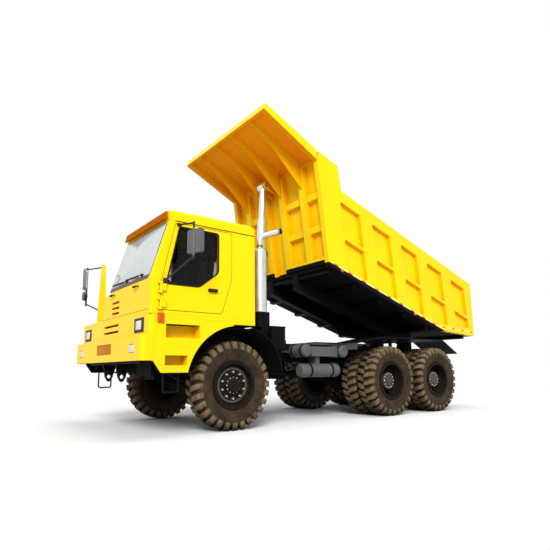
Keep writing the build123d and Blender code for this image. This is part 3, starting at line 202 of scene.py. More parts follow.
def enamel(name, base, deep, dust, dustTop, edge, rough, gloss,
           backingAndShadeFaces=(), backingAndShadeColour=None, shade=None, worn=None):
    # Two-pack enamel sprayed on plate: slow clouding, fine orange peel, rounded edges and road dust low down.
    # backingAndShadeFaces lists the faces that carry trim or underseal instead of paint; on the canopy they
    # carry a painted shade instead. shade is the colour of a painted shade that ambient occlusion lays into
    # closed corners.
    # worn is the bare plate's colour, scraped through in streaks along the bed on faces that look up.
    material, tree, shader, place = startMaterial(name)
    coords = place.outputs["Object"]
    cloud = fade(tree, noiseAt(tree, coords, paint["cloud"]), 0.35, 0.70)
    speck = noiseAt(tree, coords, paint["speck"], 6.0, 0.68)
    colour = blendColour(tree, cloud, linear(base), linear(deep))
    height = addNode(tree, "ShaderNodeSeparateXYZ", {0: coords}).outputs[2]
    low = fade(tree, height, 0.35, dustTop, 0.75, 0.0)
    dirt = combine(tree, "MULTIPLY", low, fade(tree, speck, 0.40, 0.68))
    colour = blendColour(tree, dirt, colour, linear(dust))
    roughness = fade(tree, speck, 0.3, 0.7, rough - 0.06, rough + 0.10)
    if shade:
        # painted shade: faces in closed corners blend towards the shade colour
        closed = paintedCornerShade(tree, paint["corner"], 0.10, 0.76, 0.80)
        colour = blendColour(tree, closed, colour, linear(shade))
    if worn:
        links = {"Vector": coords, "Scale": (0.14, 1.0, 0.3)}
        drawn = addNode(tree, "ShaderNodeMapping", links).outputs[0]
        scrape = fade(tree, noiseAt(tree, drawn, paint["scrape"], 8.0, 0.7), 0.53, 0.66, 0.0, 0.7)
        scrape = combine(tree, "MULTIPLY", scrape, facing(tree, place, (0, 0, 1)))
        colour = blendColour(tree, scrape, colour, linear(worn))
    # the listed faces take trim and underseal, and on the canopy a painted shade
    for way in backingAndShadeFaces:
        mask = backingAndShadeMask(tree, place, way)
        colour = blendColour(tree, mask, colour, linear(backingAndShadeColour))
        roughness = combine(tree, "MAXIMUM", roughness, combine(tree, "MULTIPLY", mask, 0.95))
    tree.links.new(colour, shader.inputs["Base Color"])
    tree.links.new(roughness, shader.inputs["Roughness"])
    shader.inputs["IOR"].default_value = paint["ior"]
    shader.inputs["Specular IOR Level"].default_value = gloss
    setBump(tree, shader, noiseAt(tree, coords, paint["peel"], 2.0), 0.0002, edge)
    return material


def yellowEnamel(name, backingAndShadeFaces=(), backingAndShadeColour=None, worn=None, shade=paint["yellowShade"]):
    return enamel(name, paint["yellow"], paint["yellowDeep"], paint["yellowDust"], 1.15, 0.012, 0.34, 0.40,
                  backingAndShadeFaces, backingAndShadeColour, shade, worn)


def rubber(name, base, dust, start, millimetres):
    # Natural rubber: dull brown-black, with dry earth held in patches, a fine moulded grit and a near-black
    # painted shade laid into closed places such as the far tyres.
    material, tree, shader, place = startMaterial(name)
    coords = place.outputs["Object"]
    patch = fade(tree, noiseAt(tree, coords, millimetres, 6.0, 0.7), start, 0.80)
    grit = noiseAt(tree, coords, 8.0, 3.0)
    colour = blendColour(tree, patch, linear(base), linear(dust))
    colour = blendColour(tree, combine(tree, "MULTIPLY", grit, 0.4), colour, linear("#15120E"))
    # painted shade: closed places, such as the far tyres, blend towards near black
    colour = blendColour(tree, paintedCornerShade(tree, 0.5, 0.12, 0.72, 0.92), colour, linear("#070605"))
    tree.links.new(colour, shader.inputs["Base Color"])
    shader.inputs["Roughness"].default_value = 0.80
    shader.inputs["Specular IOR Level"].default_value = 0.18
    setBump(tree, shader, grit, 0.0015)
    return material


def metal(name, base, stain, rough, grain, soot=None):
    # Bare or coated steel: bright with faint drawn grain and light clouded staining, sooted round one point.
    material, tree, shader, place = startMaterial(name)
    coords = place.outputs["Object"]
    drawn = addNode(tree, "ShaderNodeMapping", {"Vector": coords, "Scale": (1.0, 1.0, 0.05)}).outputs[0]
    streak = noiseAt(tree, drawn, grain, 3.0)
    cloud = fade(tree, noiseAt(tree, coords, 160.0, 5.0), 0.45, 0.80)
    colour = blendColour(tree, cloud, linear(base), linear(stain))
    if soot is not None:
        colour = blendColour(tree, nearPoint(tree, place, soot, 0.055, 0.110), colour, linear("#0E0C0B"))
    tree.links.new(colour, shader.inputs["Base Color"])
    shader.inputs["Metallic"].default_value = 0.85
    tree.links.new(fade(tree, streak, 0.3, 0.7, rough - 0.06, rough + 0.08), shader.inputs["Roughness"])
    setBump(tree, shader, streak, 0.0003)
    return material


def pane(name, tintAndReflection, film, rough, clear, ior, gloss):
    # Toughened glass or cast acrylic: tinted, glossy, with a thin uneven film of dust. On the windscreen the
    # pale, mostly opaque base colour is a painted reflection of the white surroundings.
    material, tree, shader, place = startMaterial(name)
    haze = noiseAt(tree, place.outputs["Object"], 260.0, 4.0)
    tree.links.new(blendColour(tree, haze, linear(tintAndReflection), linear(film)), shader.inputs["Base Color"])
    shader.inputs["Roughness"].default_value = rough
    shader.inputs["Transmission Weight"].default_value = clear
    shader.inputs["IOR"].default_value = ior
    shader.inputs["Specular IOR Level"].default_value = gloss
    setBump(tree, shader, haze, 0.0002)
    return material


def moulded(name, base, worn, rough, grain):
    # Moulded plastic or woven trim: matt, fine even grain, slightly greyed where it is rubbed.
    material, tree, shader, place = startMaterial(name)
    coords = place.outputs["Object"]
    rub = noiseAt(tree, coords, 140.0, 4.0)
    tree.links.new(blendColour(tree, rub, linear(base), linear(worn)), shader.inputs["Base Color"])
    shader.inputs["Roughness"].default_value = rough
    shader.inputs["Specular IOR Level"].default_value = 0.25
    setBump(tree, shader, noiseAt(tree, coords, grain, 2.0), 0.0008, 0.004)
    return material


def mirrorShell(middle, half):
    # Grey moulded mirror shell on black rods: grey within half of the shell's middle height, black beyond.
    material, tree, shader, place = startMaterial("mirrorShell")
    coords = place.outputs["Object"]
    height = addNode(tree, "ShaderNodeSeparateXYZ", {0: coords}).outputs[2]
    offset = reckon(tree, "SUBTRACT", height, middle)
    away = addNode(tree, "ShaderNodeMath", {0: offset}, operation="ABSOLUTE").outputs[0]
    far = reckon(tree, "GREATER_THAN", away, half)
    grey = blendColour(tree, noiseAt(tree, coords, 130.0, 4.0), linear("#47464C"), linear("#646369"))
    tree.links.new(blendColour(tree, far, grey, linear("#0C0C0C")), shader.inputs["Base Color"])
    shader.inputs["Roughness"].default_value = 0.35
    setBump(tree, shader, noiseAt(tree, coords, 4.0, 2.0), 0.0004, 0.004)
    return material


def lens(name, tintAndReflection, paintedGlint, facet):
    # Polycarbonate lens with pressed prisms over a bright reflector. The lighter tone in the prism cells is a
    # painted glint.
    material, tree, shader, place = startMaterial(name)
    links = {"Vector": place.outputs["Object"], "Scale": 1000.0 / facet}
    cell = addNode(tree, "ShaderNodeTexVoronoi", links).outputs["Distance"]
    tree.links.new(blendColour(tree, cell, linear(tintAndReflection), linear(paintedGlint)), shader.inputs["Base Color"])
    shader.inputs["Roughness"].default_value = 0.15
    shader.inputs["Specular IOR Level"].default_value = 0.3
    setBump(tree, shader, cell, 0.002)
    return material


def reflectiveTape():
    # Prismatic edge tape: cream with an orange block of 120 mm in each 380 mm along the truck.
    material, tree, shader, place = startMaterial("reflectiveTape")
    coords = place.outputs["Object"]
    along = addNode(tree, "ShaderNodeSeparateXYZ", {0: coords}).outputs[0]
    block = reckon(tree, "LESS_THAN", reckon(tree, "FLOORED_MODULO", along, 0.38), 0.12)
    colour = blendColour(tree, block, linear("#F6E5A6"), linear("#D2480A"))
    tree.links.new(colour, shader.inputs["Base Color"])
    shader.inputs["Roughness"].default_value = 0.3
    setBump(tree, shader, noiseAt(tree, coords, 8.0), 0.0004)
    return material


yellow = yellowEnamel("yellowEnamel")
underYellow = yellowEnamel("yellowEnamelUnderseal", [(0, 0, -1)], paint["underseal"])
bumperYellow = yellowEnamel("yellowEnamelBumper", [(0, 0, -1), (-1, 0, 0), "inner"], paint["underseal"])
sideYellow = yellowEnamel("yellowEnamelBedSide", [(bed["sideEdge"], "outer")], paint["underseal"])
wallBand = [(bed["wallEdge"], (1, 0, 0)), (bed["wallEdge"], (0, 0, -1))]
wallYellow = yellowEnamel("yellowEnamelBedWall", wallBand, paint["underseal"])
# painted shade: the canopy's downward faces take a deeper orange in place of the yellow paint
canopyYellowPaintedShade = yellowEnamel("yellowEnamelCanopyPaintedShade", [(0, 0, -1)], "#FFA60E")
floorFaces = [(0, 0, -1), (tipCos, 0, tipSin)]
plateYellow = yellowEnamel("yellowEnamelBedFloor", floorFaces, paint["underseal"], worn="#86837C")
fenderFaces = ["inner", (0, 0, -1)]
# the fenders' step recesses get a lighter painted shade
fenderYellow = yellowEnamel("yellowEnamelFender", fenderFaces, paint["underseal"], shade="#FFC400")
roofYellow = yellowEnamel("yellowEnamelCabRoof", ["cab"], paint["trim"])
floorYellow = yellowEnamel("yellowEnamelCabFloor", [(0, 0, 1), (0, 0, -1)], paint["trim"])
leftYellow = yellowEnamel("yellowEnamelTrimmedRightSide", [(0, -1, 0)], paint["trim"])
rightYellow = yellowEnamel("yellowEnamelTrimmedLeftSide", [(0, 1, 0)], paint["trim"])
rearYellow = yellowEnamel("yellowEnamelTrimmedFront", [(1, 0, 0)], paint["trim"])
frontYellow = yellowEnamel("yellowEnamelTrimmedBack", [(-1, 0, 0)], paint["trim"])
black = enamel("blackChassisEnamel", "#0A0A0A", "#11100F", "#2C251D", 1.5, 0.006, 0.48, 0.16)
tankGrey = enamel("airTankEnamel", "#525354", "#606162", "#57503F", 1.1, 0.004, 0.30, 0.35)
lipGrey = enamel("mudguardLipEnamel", "#4A4A49", "#5A5A58", "#5A5244", 1.5, 0.003, 0.5, 0.2)
rimBlack = enamel("rimEnamel", "#120F0D", "#1A1613", "#352A1E", 1.2, 0.003, 0.50, 0.16)
castDark = enamel("castIronEnamel", "#0E0D0C", "#161412", "#2C251D", 1.5, 0.008, 0.6, 0.14)
hubGrey = enamel("hubEnamel", "#4F4B48", "#3E3A37", "#453A2D", 1.2, 0.003, 0.40, 0.40)
tyreBody = rubber("tyreRubber", "#2C221A", "#5A4935", 0.38, 170.0)
tyreLug = rubber("tyreTreadRubber", "#54432F", "#A28C6C", 0.34, 90.0)
pipeMouth = (axleX - 0.885, 1.480, 3.270)
silver = metal("aluminisedSteel", "#D2D3D1", "#BDBBB5", 0.34, 30.0, pipeMouth)
rodChrome = metal("chromedRod", "#E6E8EA", "#D2D4D5", 0.18, 12.0)
hubSteelAndEdgeHighlight = metal("hubSteelAndEdgeHighlight", "#75726D", "#4A443C", 0.42, 20.0)
nutZinc = metal("zincPlatedSteel", "#C9C8C2", "#A9A59B", 0.30, 10.0)
# painted reflection: the windscreen's pale, mostly opaque base colour stands for the white surroundings
# reflected in it
screenGlass = pane("windscreenGlass", "#CBD5D6", "#D9E1E1", 0.06, 0.25, 1.5, 0.5)
darkGlass = pane("tintedGlass", "#BCC2C0", "#C6CCCA", 0.02, 1.0, 1.20, 0.15)
amberAcrylic = pane("amberAcrylic", "#B86204", "#A05003", 0.55, 0.0, 1.15, 0.05)
mirrorGlass = metal("silveredGlass", "#DDE3E4", "#CBD2D3", 0.08, 60.0)
mirrorGrey = mirrorShell(2.700, 0.205)
blackPlastic = moulded("blackPlastic", "#0E0E0E", "#1A1918", 0.50, 4.0)
cowlPlastic = moulded("cowlPlastic", "#6C625C", "#564D48", 0.6, 4.0)
sealRubber = moulded("sealRubber", "#0A0A0A", "#131312", 0.75, 2.5)
seatCloth = moulded("seatCloth", "#1B1C20", "#2B2C31", 0.92, 3.0)
tape = reflectiveTape()
# the lighter second colour of each lens is a painted glint in its prisms
clearLens = lens("headlampLens", "#BCC1C0", "#E6E9E8", 24.0)
amberLens = lens("markerLens", "#B83206", "#E8661A", 14.0)
plateOchre = enamel("plateEnamel", "#C9800E", "#BC6C0C", "#8A6A30", 1.2, 0.002, 0.45, 0.15)
print("stage: materials")

finishes = {
    yellow: ["front_panel", "mirror_post"],
    canopyYellowPaintedShade: ["bed_canopy"],
    sideYellow: ["bed_sides"],
    wallYellow: ["bed_front_wall"],
    plateYellow: ["bed_floor"],
    underYellow: ["right_deck"],
    roofYellow: ["cab_roof"],
    bumperYellow: ["bumper"],
    fenderYellow: ["fenders"],
    floorYellow: ["cab_floor"],
    leftYellow: ["cab_side_left", "door_left"],
    rightYellow: ["cab_side_right"],
    rearYellow: ["cab_rear_wall"],
    frontYellow: ["cab_front_frame"],
    black: ["frame_rails", "frame_crossmembers", "hinge_brackets", "cab_carriers", "mudguards", "side_steps",
            "tow_hooks", "fuel_tank", "exhaust_bracket", "hoist_barrel", "bed_beams"],
    castDark: ["front_axle", "rear_axles", "leaf_springs", "engine_block", "driveshaft",
               "knuckle_left", "knuckle_right"],
    tankGrey: ["air_tanks"],
    silver: ["exhaust_stack"],
    rodChrome: ["hoist_stage", "hoist_rod"],
    darkGlass: ["cab_glass", "door_glass"],
    amberAcrylic: ["sun_visor"],
    blackPlastic: ["dashboard", "front_lamps"],
    mirrorGrey: ["mirror_left", "mirror_right"],
    rimBlack: [name for name in nodes if name.startswith("wheel")],
}
for material, names in finishes.items():
    for name in names:
        slots = nodes[name].data.materials
        slots.clear()
        slots.append(material)


def gridFaces(rows, columns, wrapRows=False, wrapColumns=False):
    # quads of a rows by columns grid, closed round either way
    r = np.arange(rows if wrapRows else rows - 1)[:, None]
    c = np.arange(columns if wrapColumns else columns - 1)[None, :]
    r2, c2 = (r + 1) % rows, (c + 1) % columns
    quads = np.stack([r * columns + c, r2 * columns + c, r2 * columns + c2, r * columns + c2], -1)
    return quads.reshape(-1, 4).tolist()


class Builder:
    # gathers several surfaces, each with a material number, into one welded mesh
    def __init__(self):
        self.points, self.faces, self.marks, self.count = [], [], [], 0

    def add(self, points, faces, mark=0, flip=False):
        points = np.asarray(points, float).reshape(-1, 3)
        self.points.append(points)
        self.faces += [[i + self.count for i in (face[::-1] if flip else face)] for face in faces]
        self.marks += [mark] * len(faces)
        self.count += len(points)

    def piece(self, name, materials, body, smooth=True):
        mesh = bpy.data.meshes.new(name)
        mesh.from_pydata(np.concatenate(self.points).tolist(), [], self.faces)
        for material in materials:
            mesh.materials.append(material)
        mesh.polygons.foreach_set("material_index", np.array(self.marks, dtype=np.int32))
        mesh.polygons.foreach_set("use_smooth", np.full(len(self.faces), smooth))
        work = bmesh.new()
        work.from_mesh(mesh)
        bmesh.ops.remove_doubles(work, verts=work.verts, dist=1e-5)
        work.to_mesh(mesh)
        work.free()
        if smooth:
            mesh.set_sharp_from_angle(angle=math.radians(40))
        mesh.update()
        made = bpy.data.objects.new(name, mesh)
        bpy.context.collection.objects.link(made)
        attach(made, body)
        return made


def smoothLine(points, steps):
    # Catmull-Rom curve through the points: each span blends its four neighbours
    p = np.asarray(points, float)
    p = np.vstack([2 * p[0] - p[1], p, 2 * p[-1] - p[-2]])
    t = np.linspace(0, 1, steps, endpoint=False)[:, None]
    a, b, c, d = p[:-3, None], p[1:-2, None], p[2:-1, None], p[3:, None]
    bend, twist = 2 * a - 5 * b + 4 * c - d, 3 * b - a - 3 * c + d
    curve = 0.5 * (2 * b + (c - a) * t + bend * t ** 2 + twist * t ** 3)
    return np.vstack([curve.reshape(-1, p.shape[1]), p[-2]])


def roundedBox(build, centre, half, radius, mark=0, turn=None, steps=3):
    # Each corner is an eighth of a ball: point = sign * (half - radius) + radius * direction.
    bend = np.linspace(0, math.pi / 2, steps + 1)
    azimuth = (np.arange(4)[:, None] * math.pi / 2 + bend).ravel()
    signX = np.repeat([1, -1, -1, 1], steps + 1)
    signY = np.repeat([1, 1, -1, -1], steps + 1)
    height = np.concatenate([bend - math.pi / 2, bend])[:, None]
    signZ = np.repeat([-1, 1], steps + 1)[:, None]
    ball = np.stack([np.cos(height) * np.cos(azimuth), np.cos(height) * np.sin(azimuth),
                     np.broadcast_to(np.sin(height), (len(height), len(azimuth)))], -1)
    sign = np.stack(np.broadcast_arrays(signX, signY, signZ), -1)
    points = sign * (np.asarray(half) - radius) + radius * ball
    if turn is not None:
        points = points @ np.array(turn.to_3x3()).T
    rows, columns = len(height), len(azimuth)
    last = (rows - 1) * columns
    quarter = np.arange(4) * (steps + 1)
    caps = [quarter[::-1].tolist(), (quarter + last).tolist()]
    walls = [f[::-1] for f in gridFaces(rows, columns, False, True)]
    build.add(points + np.asarray(centre), walls + caps, mark)


def tube(build, path, radius, mark=0, count=10):
    # A circle carried along the path: point = path + radius (cos a N + sin a B), N and B square to it.
    path = np.asarray(path, float)
    along = np.gradient(path, axis=0)
    along /= np.linalg.norm(along, axis=1, keepdims=True)
    spare = np.array([0.31, 0.17, 0.93])
    sideways = np.cross(along, spare)
    sideways /= np.linalg.norm(sideways, axis=1, keepdims=True)
    upward = np.cross(along, sideways)
    a = np.linspace(0, 2 * math.pi, count, endpoint=False)
    spokes = np.cos(a)[:, None] * sideways[:, None] + np.sin(a)[:, None] * upward[:, None]
    ring = path[:, None] + radius * spokes
    last = (len(path) - 1) * count
    caps = [list(range(count)), list(range(last + count - 1, last - 1, -1))]
    build.add(ring, gridFaces(len(path), count, False, True) + caps, mark, True)


def turned(build, profile, count, centre, axis, mark=0, flip=False):
    # profile (along, radius) turned about the axis: point = centre + along axis + radius (sin a E + cos a F)
    frames = {"x": ((1, 0, 0), (0, 0, 1), (0, 1, 0)), "y": ((0, 1, 0), (1, 0, 0), (0, 0, 1)),
              "z": ((0, 0, 1), (0, 1, 0), (1, 0, 0))}
    way, first, second = (np.array(v, float) for v in frames[axis])
    angle = np.linspace(0, 2 * math.pi, count, endpoint=False)[:, None, None]
    along, radius = (part[None, :, None] for part in np.asarray(profile, float).T)
    points = np.asarray(centre) + along * way + radius * (np.sin(angle) * first + np.cos(angle) * second)
    build.add(points, gridFaces(count, len(profile), True), mark, flip)


def roundedLoop(points, radius, steps=5):
    # Closed outline with each corner replaced by a quadratic curve between its two tangent points.
    p = np.asarray(points, float)
    before = np.roll(p, 1, 0) - p
    after = np.roll(p, -1, 0) - p
    start = p + radius * before / np.linalg.norm(before, axis=1, keepdims=True)
    end = p + radius * after / np.linalg.norm(after, axis=1, keepdims=True)
    t = np.linspace(0, 1, steps)[None, :, None]
    curve = (1 - t) ** 2 * start[:, None] + 2 * t * (1 - t) * p[:, None] + t ** 2 * end[:, None]
    return curve.reshape(-1, p.shape[1])


def ribbon(build, outer, inner, ways, mark=0):
    # Band between two matching loops, carried sideways by the two offsets: a closed strap of four faces.
    loops = np.stack([outer + ways[0], outer + ways[1], inner + ways[1], inner + ways[0]], 1)
    build.add(loops, gridFaces(len(loops), 4, True, True), mark)


def at(x, y, z):
    # metres ahead of the front axle, left of the centre plane and above the ground
    return np.array([axleX + x, y, z])


tyreShape = {"width": 0.375, "lugs": 28, "lugShare": 0.56, "skew": 0.075, "around": 112,
             "section": [(0.0, 0.641), (0.060, 0.640), (0.115, 0.634), (0.152, 0.618), (0.174, 0.590),
                         (0.1835, 0.540), (0.179, 0.480), (0.162, 0.420), (0.148, 0.384), (0.138, 0.366),
                         (0.132, 0.345)],
             "lugAcross": [0.006, 0.050, 0.105, 0.146, 0.168, 0.1845, 0.1870, 0.1855],
             "lugTop": [0.685, 0.685, 0.682, 0.676, 0.664, 0.630, 0.596, 0.566],
             "lugFoot": [0.634, 0.634, 0.630, 0.614, 0.598, 0.570, 0.560, 0.556],
             "lugSink": [0.006, 0.050, 0.105, 0.142, 0.158, 0.168, 0.172, 0.174]}


def tyreInto(build, centre):
    half = smoothLine(tyreShape["section"], 4)
    turned(build, np.vstack([half[::-1] * [-1, 1], half[1:]]), tyreShape["around"], centre, "y", 0)
    bead, beadRadius = tyreShape["section"][-1]
    turned(build, [(-bead, beadRadius), (bead, beadRadius)], tyreShape["around"], centre, "y", 0, True)
    # A lug runs from the centre line over the shoulder and a little way down the sidewall. Across it, its
    # section rises from the groove to the top with a rounded edge; its angle leans as (1 - share)^1.2.
    count = tyreShape["lugs"]
    pitch = 2 * math.pi / count
    keys = ("lugAcross", "lugTop", "lugFoot", "lugSink")
    y, topR, footR, sinkY = (np.array(tyreShape[key]) for key in keys)
    steps = len(y)
    share = y / y.max()
    width = pitch * tyreShape["lugShare"] * (0.86 + 0.20 * share)
    lean = tyreShape["skew"] * (1 - share) ** 1.2
    edge = np.array([-0.58, -0.50, -0.44, 0.44, 0.50, 0.58])
    rise = np.array([0.0, 0.85, 1.0, 1.0, 0.85, 0.0])
    for side, phase in ((1, 0.0), (-1, 0.5)):
        middle = (np.arange(count) + phase) * pitch
        a = middle[:, None, None] + lean[None, :, None] + width[None, :, None] * edge
        r = np.broadcast_to(footR[None, :, None] + (topR - footR)[None, :, None] * rise, a.shape)
        across = np.broadcast_to(side * (sinkY[None, :, None] + (y - sinkY)[None, :, None] * rise), a.shape)
        lug = np.stack([r * np.sin(a) + centre[0], across + centre[1], r * np.cos(a) + centre[2]], -1)
        sectionCount = len(edge)
        per = steps * sectionCount
        ends = np.array([np.arange(sectionCount)[::-1], np.arange(per - sectionCount, per)])
        start = (np.arange(count) * per)[:, None, None]
        every = (np.array(gridFaces(steps, sectionCount))[None] + start).reshape(-1, 4).tolist()
        caps = (ends[None] + start).reshape(-1, sectionCount).tolist()
        build.add(lug, every + caps, 1, side > 0)


def tyreCentres(node):
    low, high = corners(node)
    middle = (low + high) / 2
    if high[1] - low[1] < 1.5 * tyreShape["width"]:
        return [middle]
    halfWidth = tyreShape["width"] / 2
    return [np.array([middle[0], y, middle[2]]) for y in (low[1] + halfWidth, high[1] - halfWidth)]


wheelBodies = {"tyre_front_left": "front_wheel_left", "tyre_front_right": "front_wheel_right",
               "tyres_mid_left": "mid_wheels_left", "tyres_mid_right": "mid_wheels_right",
               "tyres_rear_left": "rear_wheels_left", "tyres_rear_right": "rear_wheels_right"}
for node, body in wheelBodies.items():
    build = Builder()
    for centre in tyreCentres(node):
        tyreInto(build, centre)
    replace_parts(build.piece(node + "_look", [tyreBody, tyreLug], body), node)
print("stage: tyres")

# Rim faces stand just outside the CAD rims: (across from the tyre's middle, radius)
rimShape = {"around": 72, "nuts": 10,
            "front": [(0.140, 0.345), (0.152, 0.371), (0.160, 0.372), (0.163, 0.362), (0.150, 0.345),
                      (0.146, 0.330), (0.120, 0.322), (0.085, 0.316), (0.078, 0.300), (0.080, 0.278)],
            "frontRing": [(0.080, 0.278), (0.104, 0.274), (0.110, 0.266), (0.110, 0.244), (0.104, 0.236),
                          (0.096, 0.234)],
            "frontHub": [(0.096, 0.234), (0.096, 0.160), (0.104, 0.150), (0.118, 0.146), (0.124, 0.136),
                         (0.126, 0.108)],
            "frontCap": [(0.126, 0.108), (0.150, 0.104), (0.158, 0.092), (0.162, 0.060), (0.163, 0.0)],
            "rear": [(0.140, 0.345), (0.152, 0.371), (0.160, 0.372), (0.163, 0.362), (0.150, 0.345),
                     (0.146, 0.330), (0.100, 0.322), (-0.060, 0.318), (-0.076, 0.308), (-0.080, 0.290),
                     (-0.080, 0.230), (-0.080, 0.0)],
            "rearHub": [(-0.080, 0.205), (-0.050, 0.200), (-0.040, 0.185), (0.036, 0.178), (0.050, 0.170)],
            "rearCap": [(0.050, 0.170), (0.060, 0.162), (0.060, 0.112), (0.078, 0.104), (0.086, 0.080),
                        (0.088, 0.0)]}


def nutRing(build, centre, side, y, radius, count, size, tall, mark):
    # hexagon nuts in a ring: each a six-sided prism with a narrowed end
    a = np.arange(count)[:, None] * 2 * math.pi / count
    h = np.arange(6) * math.pi / 3
    middle = np.stack([radius * np.sin(a), radius * np.cos(a)], -1)
    ring = size * np.stack([np.cos(h), np.sin(h)], -1)[None]
    layers = [(1.0, y), (1.0, y + tall * 0.8), (0.7, y + tall)]
    flat = np.stack([middle + ring * scale for scale, level in layers], 1)
    level = np.array([level for scale, level in layers])[None, :, None] * side
    points = np.stack([flat[..., 0], np.broadcast_to(level, flat.shape[:3]), flat[..., 1]], -1) + centre
    per = 6 * len(layers)
    walls = np.array(gridFaces(len(layers), 6, False, True))[None] + per * np.arange(count)[:, None, None]
    tops = np.arange(per - 6, per)[None] + per * np.arange(count)[:, None]
    build.add(points, walls.reshape(-1, 4).tolist() + tops.tolist(), mark, side > 0)


for node, body in wheelBodies.items():
    side = 1 if node.endswith("left") else -1
    centres = sorted(tyreCentres(node), key=lambda c: -side * c[1])
    build = Builder()
    if len(centres) == 1:
        for key, mark in (("front", 0), ("frontRing", 3), ("frontHub", 0), ("frontCap", 3)):
            profile = np.array(rimShape[key]) * [side, 1]
            turned(build, profile, rimShape["around"], centres[0], "y", mark, side < 0)
        nutRing(build, centres[0], side, 0.095, 0.203, rimShape["nuts"], 0.021, 0.036, 2)
        nutRing(build, centres[0], side, 0.124, 0.122, 12, 0.008, 0.010, 2)
    else:
        for key, mark in (("rear", 0), ("rearHub", 0), ("rearCap", 3)):
            profile = np.array(rimShape[key]) * [side, 1]
            turned(build, profile, rimShape["around"], centres[0], "y", mark, side < 0)
        nutRing(build, centres[0], side, -0.080, 0.262, rimShape["nuts"], 0.019, 0.030, 1)
        nutRing(build, centres[0], side, 0.060, 0.137, 12, 0.010, 0.014, 2)
    build.piece(node.replace("tyre", "rim_face"), [rimBlack, hubSteelAndEdgeHighlight, nutZinc, hubGrey], body)
print("stage: rims")

lampShape = {"headX": 1.478, "headY": 1.190, "headZ": 1.550, "headHalf": (0.012, 0.092, 0.066),
             "fogY": 1.200, "fogZ": 1.220, "fogHalf": (0.008, 0.088, 0.054),
             "markerX": 1.310, "markerZ": 1.635, "markerHalf": (0.048, 0.018, 0.070),
             "plateZ": 1.245, "plateHalf": (0.004, 0.338, 0.074), "plateX": 1.568}
build = Builder()
for side in (1, -1):
    headFace = at(lampShape["headX"], side * lampShape["headY"], lampShape["headZ"])
    roundedBox(build, headFace, lampShape["headHalf"], 0.011)
    fogFace = np.array([corners("front_lamps")[1][0], side * lampShape["fogY"], lampShape["fogZ"]])
    roundedBox(build, fogFace, lampShape["fogHalf"], 0.007)
build.piece("lamp_lenses", [clearLens], "chassis")
build = Builder()
for side in (1, -1):
    markerFace = at(lampShape["markerX"], side * (sideY + 0.010), lampShape["markerZ"])
    roundedBox(build, markerFace, lampShape["markerHalf"], 0.012)
build.piece("marker_lamps", [amberLens], "chassis")
build = Builder()
roundedBox(build, at(lampShape["plateX"], 0, lampShape["plateZ"]), lampShape["plateHalf"], 0.003)
build.piece("number_plate_blank", [plateOchre], "chassis")
print("stage: lamps and plate")

# The windscreen leans back by this much for each metre of height above the belt.
screen = {"foot": 1.470, "belt": 2.180, "lean": 0.3103}


def onScreen(y, z, proud):
    return at(screen["foot"] - screen["lean"] * (z - screen["belt"]) + proud, y, z)


wiper = {"pivots": (1.22, 0.62), "arm": 0.42, "blade": 0.52, "z": 2.268, "rise": 0.022, "dip": 0.012}
build = Builder()
for y in wiper["pivots"]:
    base = onScreen(y, wiper["z"], 0.022)
    tip = onScreen(y - wiper["arm"], wiper["z"] + wiper["rise"], 0.030)
    turned(build, [(-0.02, 0.022), (0.012, 0.022), (0.020, 0.014), (0.020, 0.0)], 16, base, "x")
    tube(build, smoothLine([base, base + (tip - base) * 0.3 + [0.012, 0, 0], tip], 6), 0.008)
    bladeY, bladeZ = y - wiper["arm"], wiper["z"] + wiper["rise"]
    bladeEnds = [onScreen(bladeY + s * wiper["blade"] / 2, bladeZ - s * wiper["dip"], 0.018)
                 for s in (-1, -0.4, 0.4, 1)]
    tube(build, smoothLine(bladeEnds, 5), 0.010)
grab = {"y": (1.05, 0.05), "z": 2.120, "half": 0.065, "foot": 1.468, "proud": 1.512, "bend": 0.01}
for y in grab["y"]:
    left, right = y - grab["half"], y + grab["half"]
    ends = [at(grab["foot"], left, grab["z"]), at(grab["proud"], left + grab["bend"], grab["z"]),
            at(grab["proud"], right - grab["bend"], grab["z"]), at(grab["foot"], right, grab["z"])]
    tube(build, smoothLine(ends, 6), 0.011)
build.piece("wipers_and_grab_handles", [blackPlastic], "chassis")

# The outer pane is bonded over the posts and the header, above a cowl strip that the wipers stand on.
outerPane = {"left": 1.455, "right": -0.108, "low": 2.250, "high": 3.050, "thick": 0.004, "cowl": 2.188}
leanTurn = Matrix.Rotation(-math.atan(screen["lean"]), 4, "Y")
build = Builder()
paneY = (outerPane["left"] + outerPane["right"]) / 2
paneHalf = (outerPane["left"] - outerPane["right"]) / 2
paneBands = ((outerPane["low"], outerPane["high"], 0), (outerPane["cowl"], outerPane["low"], 1))
for low, high, mark in paneBands:
    middle = onScreen(paneY, (low + high) / 2, outerPane["thick"] * 0.8)
    tall = (high - low) / 2 / math.cos(math.atan(screen["lean"]))
    roundedBox(build, middle, (outerPane["thick"], paneHalf, tall), 0.0035, mark, leanTurn, 2)
build.piece("windscreen_outer_pane", [screenGlass, cowlPlastic], "chassis")

splash = {"x": (-0.860, 0.800), "y": 0.470, "z": (1.020, 1.615), "apron": (1.257, -1.440, 0.985),
          "apronHalf": (0.004, 0.108, 0.042), "half": 0.004}
build = Builder()
for side in (1, -1):
    low, high = at(splash["x"][0], 0, splash["z"][0]), at(splash["x"][1], 0, splash["z"][1])
    middle = (low + high) / 2 + [0, side * splash["y"], 0]
    roundedBox(build, middle, (high - low) / 2 + [0, splash["half"], 0], 0.003, 0, None, 1)
roundedBox(build, at(*splash["apron"]), splash["apronHalf"], 0.003, 0, None, 1)
build.piece("wheel_arch_splash_plates", [black], "chassis", False)

